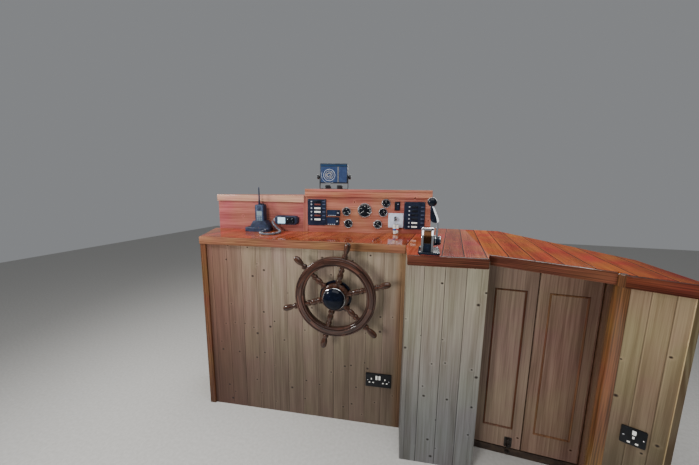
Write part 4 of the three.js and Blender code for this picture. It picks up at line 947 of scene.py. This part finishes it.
# Power sockets on the fronts: black nylon plates with white shuttered slots and white rocker keys.
# Each plate is held by two screws to a box behind the boards.
nylon_black = moulded("black_nylon_socket_plate", "0b0c0f", "17191d", 0.35, glint=0.3)
shutter_white = moulded("white_slot_shutter", "dedcd6", "cfccc4", 0.5, depth=0.0)
slot_dark = moulded("socket_slot_shadow", "060607", "0a0a0b", 0.8, depth=0.0)
counter = placed((COUNTER_AT[0] + 0.00028, COUNTER_AT[1] - 0.00011, 0), COUNTER_TURN)
for name, wide, high, outlets, keys, key_high, screws, place in (
    ("double_socket", 0.146, 0.082, ((0.034, 0.0425), (0.111, 0.0425)), ((0.063, 0.060), (0.080, 0.060)),
     0.024, ((0.013, 0.041), (0.133, 0.041)), faced(front, 1.005, 0.250, CLEAR)),
    ("single_socket", 0.070, 0.068, ((0.035, 0.026),), ((0.035, 0.054),),
     0.016, ((0.008, 0.034), (0.062, 0.034)), faced(counter, 0.034, 0.450, CLEAR)),
):
    parts = [(block(wide, high, 0.0087, 0.004, 0.0025, (wide / 2, high / 2, 0)), nylon_black)]
    # An earth slot above and two line slots below, each with its shutter showing
    for x, y in outlets:
        for dx, dy, slot_wide, slot_high in ((0, 0.008, 0.006, 0.0095), (-0.011, -0.014, 0.0085, 0.0065),
                                             (0.011, -0.014, 0.0085, 0.0065)):
            at = (x + dx, y + dy)
            parts += [(block(slot_wide + 0.0016, slot_high + 0.0016, 0.0006, at=(*at, 0.0084)), slot_dark),
                      (block(slot_wide, slot_high, 0.0005, 0.0006, at=(*at, 0.0087)), shutter_white)]
    for at in keys:
        parts.append((block(0.011, key_high, 0.0045, 0.001, 0.0008), rocker_white,
                      placed((*at, 0.008), math.radians(7), "X")))
    for at in screws:
        parts += screw(*at, 0.0085)
    fitted(name + "_unit", parts, place, stands_for=[name])

# Engine control: chromed cheeks over a smoked, polished drum, on a black base bolted to the worktop.
# The lever turns on a hub at the starboard cheek: a slim chromed arm, a black grip edged in silver, a ball.
PIVOT = (0.2955, -0.306, 1.147)
DOME = 0.060
HALF_WIDE = 0.0275
CHEEK = 0.010
control_chrome = metal("polished_chrome_cheek", "e2e4e6", 0.08)
smoked = metal("smoked_polished_drum", "4d3422", 0.25)
trim_silver = moulded("silver_lacquered_trim", "dcdfe4", "c8ccd4", 0.3, depth=0.05)
control_black = moulded("black_control_cover", "0c111b", "182030", 0.22, depth=0.05, glint=0.3)


def side_outline(radius, foot, steps=28):
    """A dome seen from the side, about the pivot: two legs and a half round."""
    arc = [heading(math.pi * k / steps, radius).xy for k in range(steps + 1)]
    return [(radius, foot), *arc, (-radius, foot)]


def sideways(out):
    """The place of a flat form that faces to starboard, so far out from the pivot."""
    return placed((out, 0, 0), QUARTER) @ Matrix.Rotation(QUARTER, 4, "X")


base_low = WORKTOP - PIVOT[2]
foot_z = base_low + 0.0085
parts = [(block(0.096, 0.148, 0.0097, 0.014, 0.003, (0.009, 0, base_low)), control_black)]
for x in (-0.030, 0.048):
    for y in (-0.065, 0.065):
        parts += screw(x, y, base_low + 0.0094, 0.005)
inside = HALF_WIDE - CHEEK
for side in (-1, 1):
    cheek = raised(side_outline(DOME, foot_z), CHEEK, 0.004, 4)
    parts.append((cheek, control_chrome, sideways(side * inside) @ Matrix.Scale(side, 4, (0, 0, 1))))
parts += [
    (raised(side_outline(DOME - 0.0045, foot_z + 0.030), 2 * inside), smoked, sideways(-inside)),
    (block(2 * inside, 0.050, 0.010, ease=0.003, at=(0, 0, DOME - 0.0105)), control_chrome),
    (block(2 * inside, 2 * DOME - 0.004, 0.040, ease=0.004, at=(0, 0, foot_z)), control_black),
]
fitted("control_unit", parts, placed(PIVOT), stands_for=["control_housing"])

ARM = [(0.0355, -0.01), (0.0455, -0.01), (0.046, 0.03), (0.0468, 0.06), (0.0458, 0.088), (0.035, 0.09),
       (0.0365, 0.06), (0.0358, 0.03)]
GRIP = [(0.008, 0.101), (0.011, 0.093), (0.016, 0.087), (0.024, 0.0835), (0.034, 0.0825), (0.041, 0.085),
        (0.0425, 0.096), (0.039, 0.108), (0.028, 0.133), (0.0185, 0.156), (0.0165, 0.158), (0.0075, 0.158),
        (0.0055, 0.1555)]
STRIP = [(0.0375, 0.083), (0.0455, 0.0865), (0.047, 0.092), (0.045, 0.1045), (0.033, 0.1325), (0.0232, 0.155),
         (0.0215, 0.158), (0.0135, 0.158), (0.023, 0.132), (0.0332, 0.108), (0.0365, 0.096)]
HUB_AT = placed((HALF_WIDE, 0, 0), QUARTER, "Y")
hub_outline = [(0, 0.0003), (0.025, 0.0003), (0.0258, 0.0015), (0.0258, 0.005), (0.025, 0.006),
               (0.0225, 0.0065), (0.0225, 0.018), (0.0205, 0.019), (0.0205, 0.03), (0.019, 0.0325),
               (0.015, 0.034), (0, 0.0343)]
pinch = turned([(0, 0.0335), (0.0075, 0.0335), (0.008, 0.0343), (0.006, 0.0352), (0, 0.0354)], 6)
parts = [(raised(outline, thick, ease, segments), material, placed((0, thick / 2, 0), QUARTER, "X"))
         for outline, thick, ease, segments, material in (
             (ARM, 0.014, 0.002, 3, bezel_chrome), (GRIP, 0.023, 0.004, 4, control_black),
             (STRIP, 0.024, 0.003, 3, trim_silver))]
parts.append((turned(hub_outline, 36), control_black, HUB_AT))
for r, low, high in ((0.0232, 0.0062, 0.009), (0.0212, 0.028, 0.0305)):
    crown = turned([(r - 0.003, low), (r, low), (r + 0.0004, (low + high) / 2), (r, high),
                    (r - 0.003, high)], 36, closed=True)
    parts.append((crown, control_chrome, HUB_AT))
parts.append((pinch, control_chrome, HUB_AT))
fitted("control_arm", parts, placed(PIVOT), "control", ["control_lever"])

KNOB = 0.0215
CUT = -0.0192            # where the ball is cut off flat over the grip
ball = [(KNOB * math.sin(math.pi * k / 20), -KNOB * math.cos(math.pi * k / 20)) for k in range(21)]
ball = turned([(0, CUT), *[(r, z) for r, z in ball if z > CUT]], 36)
collar = turned([(0.006, CUT), (0.010, CUT), (0.0112, -0.018), (0.0104, -0.0166), (0.006, -0.0166)], 32,
                closed=True)
fitted("control_ball", [(ball, control_black), (collar, control_chrome)],
       placed(PIVOT) @ placed((0.013, 0, 0.156 + KNOB)), "control", ["control_knob"])

# Ship's wheel: six turned hardwood spokes morticed through a rim of sawn felloes, round a turned hub.
# Stained brown and varnished many times, with a black flange behind the hub, and a black dome on a
# chrome ring before it.
WHEEL_AXIS = front @ Vector((0.845, -0.110, 0.818))
wheel = faced(placed(WHEEL_AXIS, FRONT_TURN), 0, 0)
SPOKE_TURN = 17
SPOKE = (                # from the centre, radius
    (0.058, 0.013), (0.0775, 0.013), (0.0785, 0.0145), (0.08, 0.0165), (0.084, 0.0172), (0.088, 0.0172),
    (0.0915, 0.0165), (0.0928, 0.0145), (0.0935, 0.0125), (0.096, 0.0112), (0.099, 0.0112), (0.106, 0.014),
    (0.113, 0.0158), (0.119, 0.0162), (0.125, 0.0156), (0.132, 0.0132), (0.1375, 0.0113), (0.14, 0.0113),
    (0.1408, 0.013), (0.1425, 0.0148), (0.1465, 0.0156), (0.1505, 0.0156), (0.1545, 0.0148), (0.1562, 0.013),
    (0.157, 0.012), (0.2185, 0.012), (0.2192, 0.0135), (0.221, 0.0152), (0.2245, 0.016), (0.2285, 0.016),
    (0.232, 0.0152), (0.2338, 0.013), (0.2345, 0.0108), (0.238, 0.0098), (0.244, 0.011), (0.253, 0.0142),
    (0.264, 0.0164), (0.274, 0.0171), (0.283, 0.0164), (0.2905, 0.0144), (0.296, 0.0112), (0.2988, 0.007),
    (0.2999, 0.003), (0.3, 0),
)


def wheel_timber(name, early, mid, late, felloes=False):
    """Varnished hardwood, its grain along each spoke, or round the rim and broken at each felloe joint."""
    material, shader, node, whole = new_material(name)
    place = node("Mapping", whole, WHEEL_AXIS, (QUARTER, 0, FRONT_TURN), vector_type="TEXTURE")
    axes = node("SeparateXYZ", place).outputs
    angle = node("Math", axes["Y"], axes["X"], operation="ARCTAN2")
    reach = node("VectorMath", node("CombineXYZ", axes["X"], axes["Y"]), operation="LENGTH")
    start = math.radians(SPOKE_TURN + (30 if felloes else 0))
    sixth = node("Math", angle, 3 / math.pi, 6 - start * 3 / math.pi, operation="MULTIPLY_ADD")
    piece = node("Math", sixth, operation="FLOOR" if felloes else "ROUND")
    arc = node("Math", node("Math", sixth, piece, operation="SUBTRACT"), math.pi / 3, operation="MULTIPLY")
    arc = node("Math", arc, reach, operation="MULTIPLY")
    lengthwise, across = (arc, reach) if felloes else (reach, arc)
    lot = node("TexWhiteNoise", piece, noise_dimensions="1D").outputs
    grain_at = node("CombineXYZ", node("Math", lengthwise, 7.0, operation="MULTIPLY"),
                    node("Math", across, 120.0, operation="MULTIPLY"),
                    node("Math", axes["Z"], 120.0, piece, operation="MULTIPLY_ADD"))
    grain_at = node("VectorMath", grain_at, node("VectorMath", lot["Color"], 9.0, operation="SCALE"))
    grain = node("TexNoise", grain_at, 1.0, 4.0, 0.55)
    wood = node("ValToRGB", grain, stops=[(0.30, late), (0.50, mid), (0.70, early)])
    wood = node("HueSaturation", Color=wood, Value=node("MapRange", lot["Value"], To_Min=0.85, To_Max=1.12))
    if felloes:
        joint = node("MapRange", node("Math", sixth, 0.5, operation="PINGPONG"), 0.007, 0.002,
                     interpolation_type="SMOOTHSTEP")
        wood = node("Mix", joint, wood, linear("1c0d06"), data_type="RGBA")
    feed(shader, Base_Color=wood, Normal=node("Bump", Height=grain, Strength=0.2, Distance=0.0003),
         Roughness=0.4, Specular_IOR_Level=0.1, Coat_Weight=0.9, Coat_Roughness=0.08, Coat_IOR=1.5)
    return material


rim_wood = wheel_timber("varnished_rim_felloes", "59382c", "321e17", "160a06", felloes=True)
spoke_wood = wheel_timber("varnished_turned_spokes", "573527", "331e14", "170a06")
RIM = 0.1915             # radius of the rim's middle
half_profile = [(-0.0235, 0.01), (-0.0229, 0.013), (-0.0213, 0.0155), (-0.0189, 0.0168), (-0.0165, 0.017),
                (-0.0147, 0.0162), (-0.0135, 0.0148), (-0.0127, 0.0146), (-0.0121, 0.0152), (-0.0115, 0.0176),
                (-0.0103, 0.0188), (-0.0085, 0.019)]
profile = half_profile + [(-r, z) for r, z in reversed(half_profile)]
rim_outline = [(RIM + r, z) for r, z in profile] + [(RIM + r, -z) for r, z in reversed(profile)]
fitted("rim_felloes", [(turned(rim_outline, 120, closed=True), rim_wood)], wheel, "helm",
       ["wheel_rim"])

hub_outline = [(0.013, -0.0138), (0.070, -0.0138), (0.074, -0.013), (0.074, 0.007), (0.0732, 0.0095),
               (0.071, 0.0112), (0.069, 0.0118), (0.0682, 0.0128), (0.0674, 0.0146), (0.065, 0.0158),
               (0.062, 0.016), (0.013, 0.016)]
parts = [(turned(hub_outline, 64, closed=True), spoke_wood)]
for k in range(6):
    out = placed((0, 0, 0), math.radians(SPOKE_TURN + 60 * k)) @ Matrix.Rotation(QUARTER, 4, "Y")
    parts.append((turned([(0, SPOKE[0][0]), *[(r, at) for at, r in SPOKE]], 24), spoke_wood, out))
fitted("hub_and_spokes", parts, wheel, "helm", ["wheel_hub_and_spokes"])

gloss_black = moulded("gloss_black_enamel", "050914", "0b1120", 0.10, depth=0.0, glint=0.2)
CAP_FOOT = 0.034
dome = [(0.057 * math.sin(QUARTER * k / 16), CAP_FOOT + 0.034 * math.cos(QUARTER * k / 16))
        for k in range(1, 17)]
cap = turned([(0, 2 * CAP_FOOT), *dome, (0.049, CAP_FOOT), (0.049, 0.0163), (0.013, 0.0163), (0.013, 0.025),
              (0, 0.025)], 64)
ring = turned([(0.0485, 0.03), (0.0575, 0.03), (0.059, 0.0312), (0.059, 0.033), (0.0578, 0.0342),
               (0.0485, 0.0342)], 64, closed=True)
fitted("domed_cap", [(cap, gloss_black), (ring, chrome)], wheel, "helm", ["wheel_cap"])
flange = turned([(0.060, -0.022), (0.0845, -0.022), (0.086, -0.0205), (0.086, -0.0155), (0.0845, -0.0141),
                 (0.060, -0.0141)], 64, closed=True)
fitted("hub_flange", [(flange, gloss_black)], wheel, "helm")

# Shaft and its bearing: plain turned steel, which runs in a flange of painted iron on the port front
# and goes on behind the boards.
finish(metal("turned_shaft_steel", "a9adb2", 0.25), "wheel_shaft")
finish(moulded("black_painted_iron", "17181a", "292a2c", 0.4, grain=0.002), "wheel_bearing")
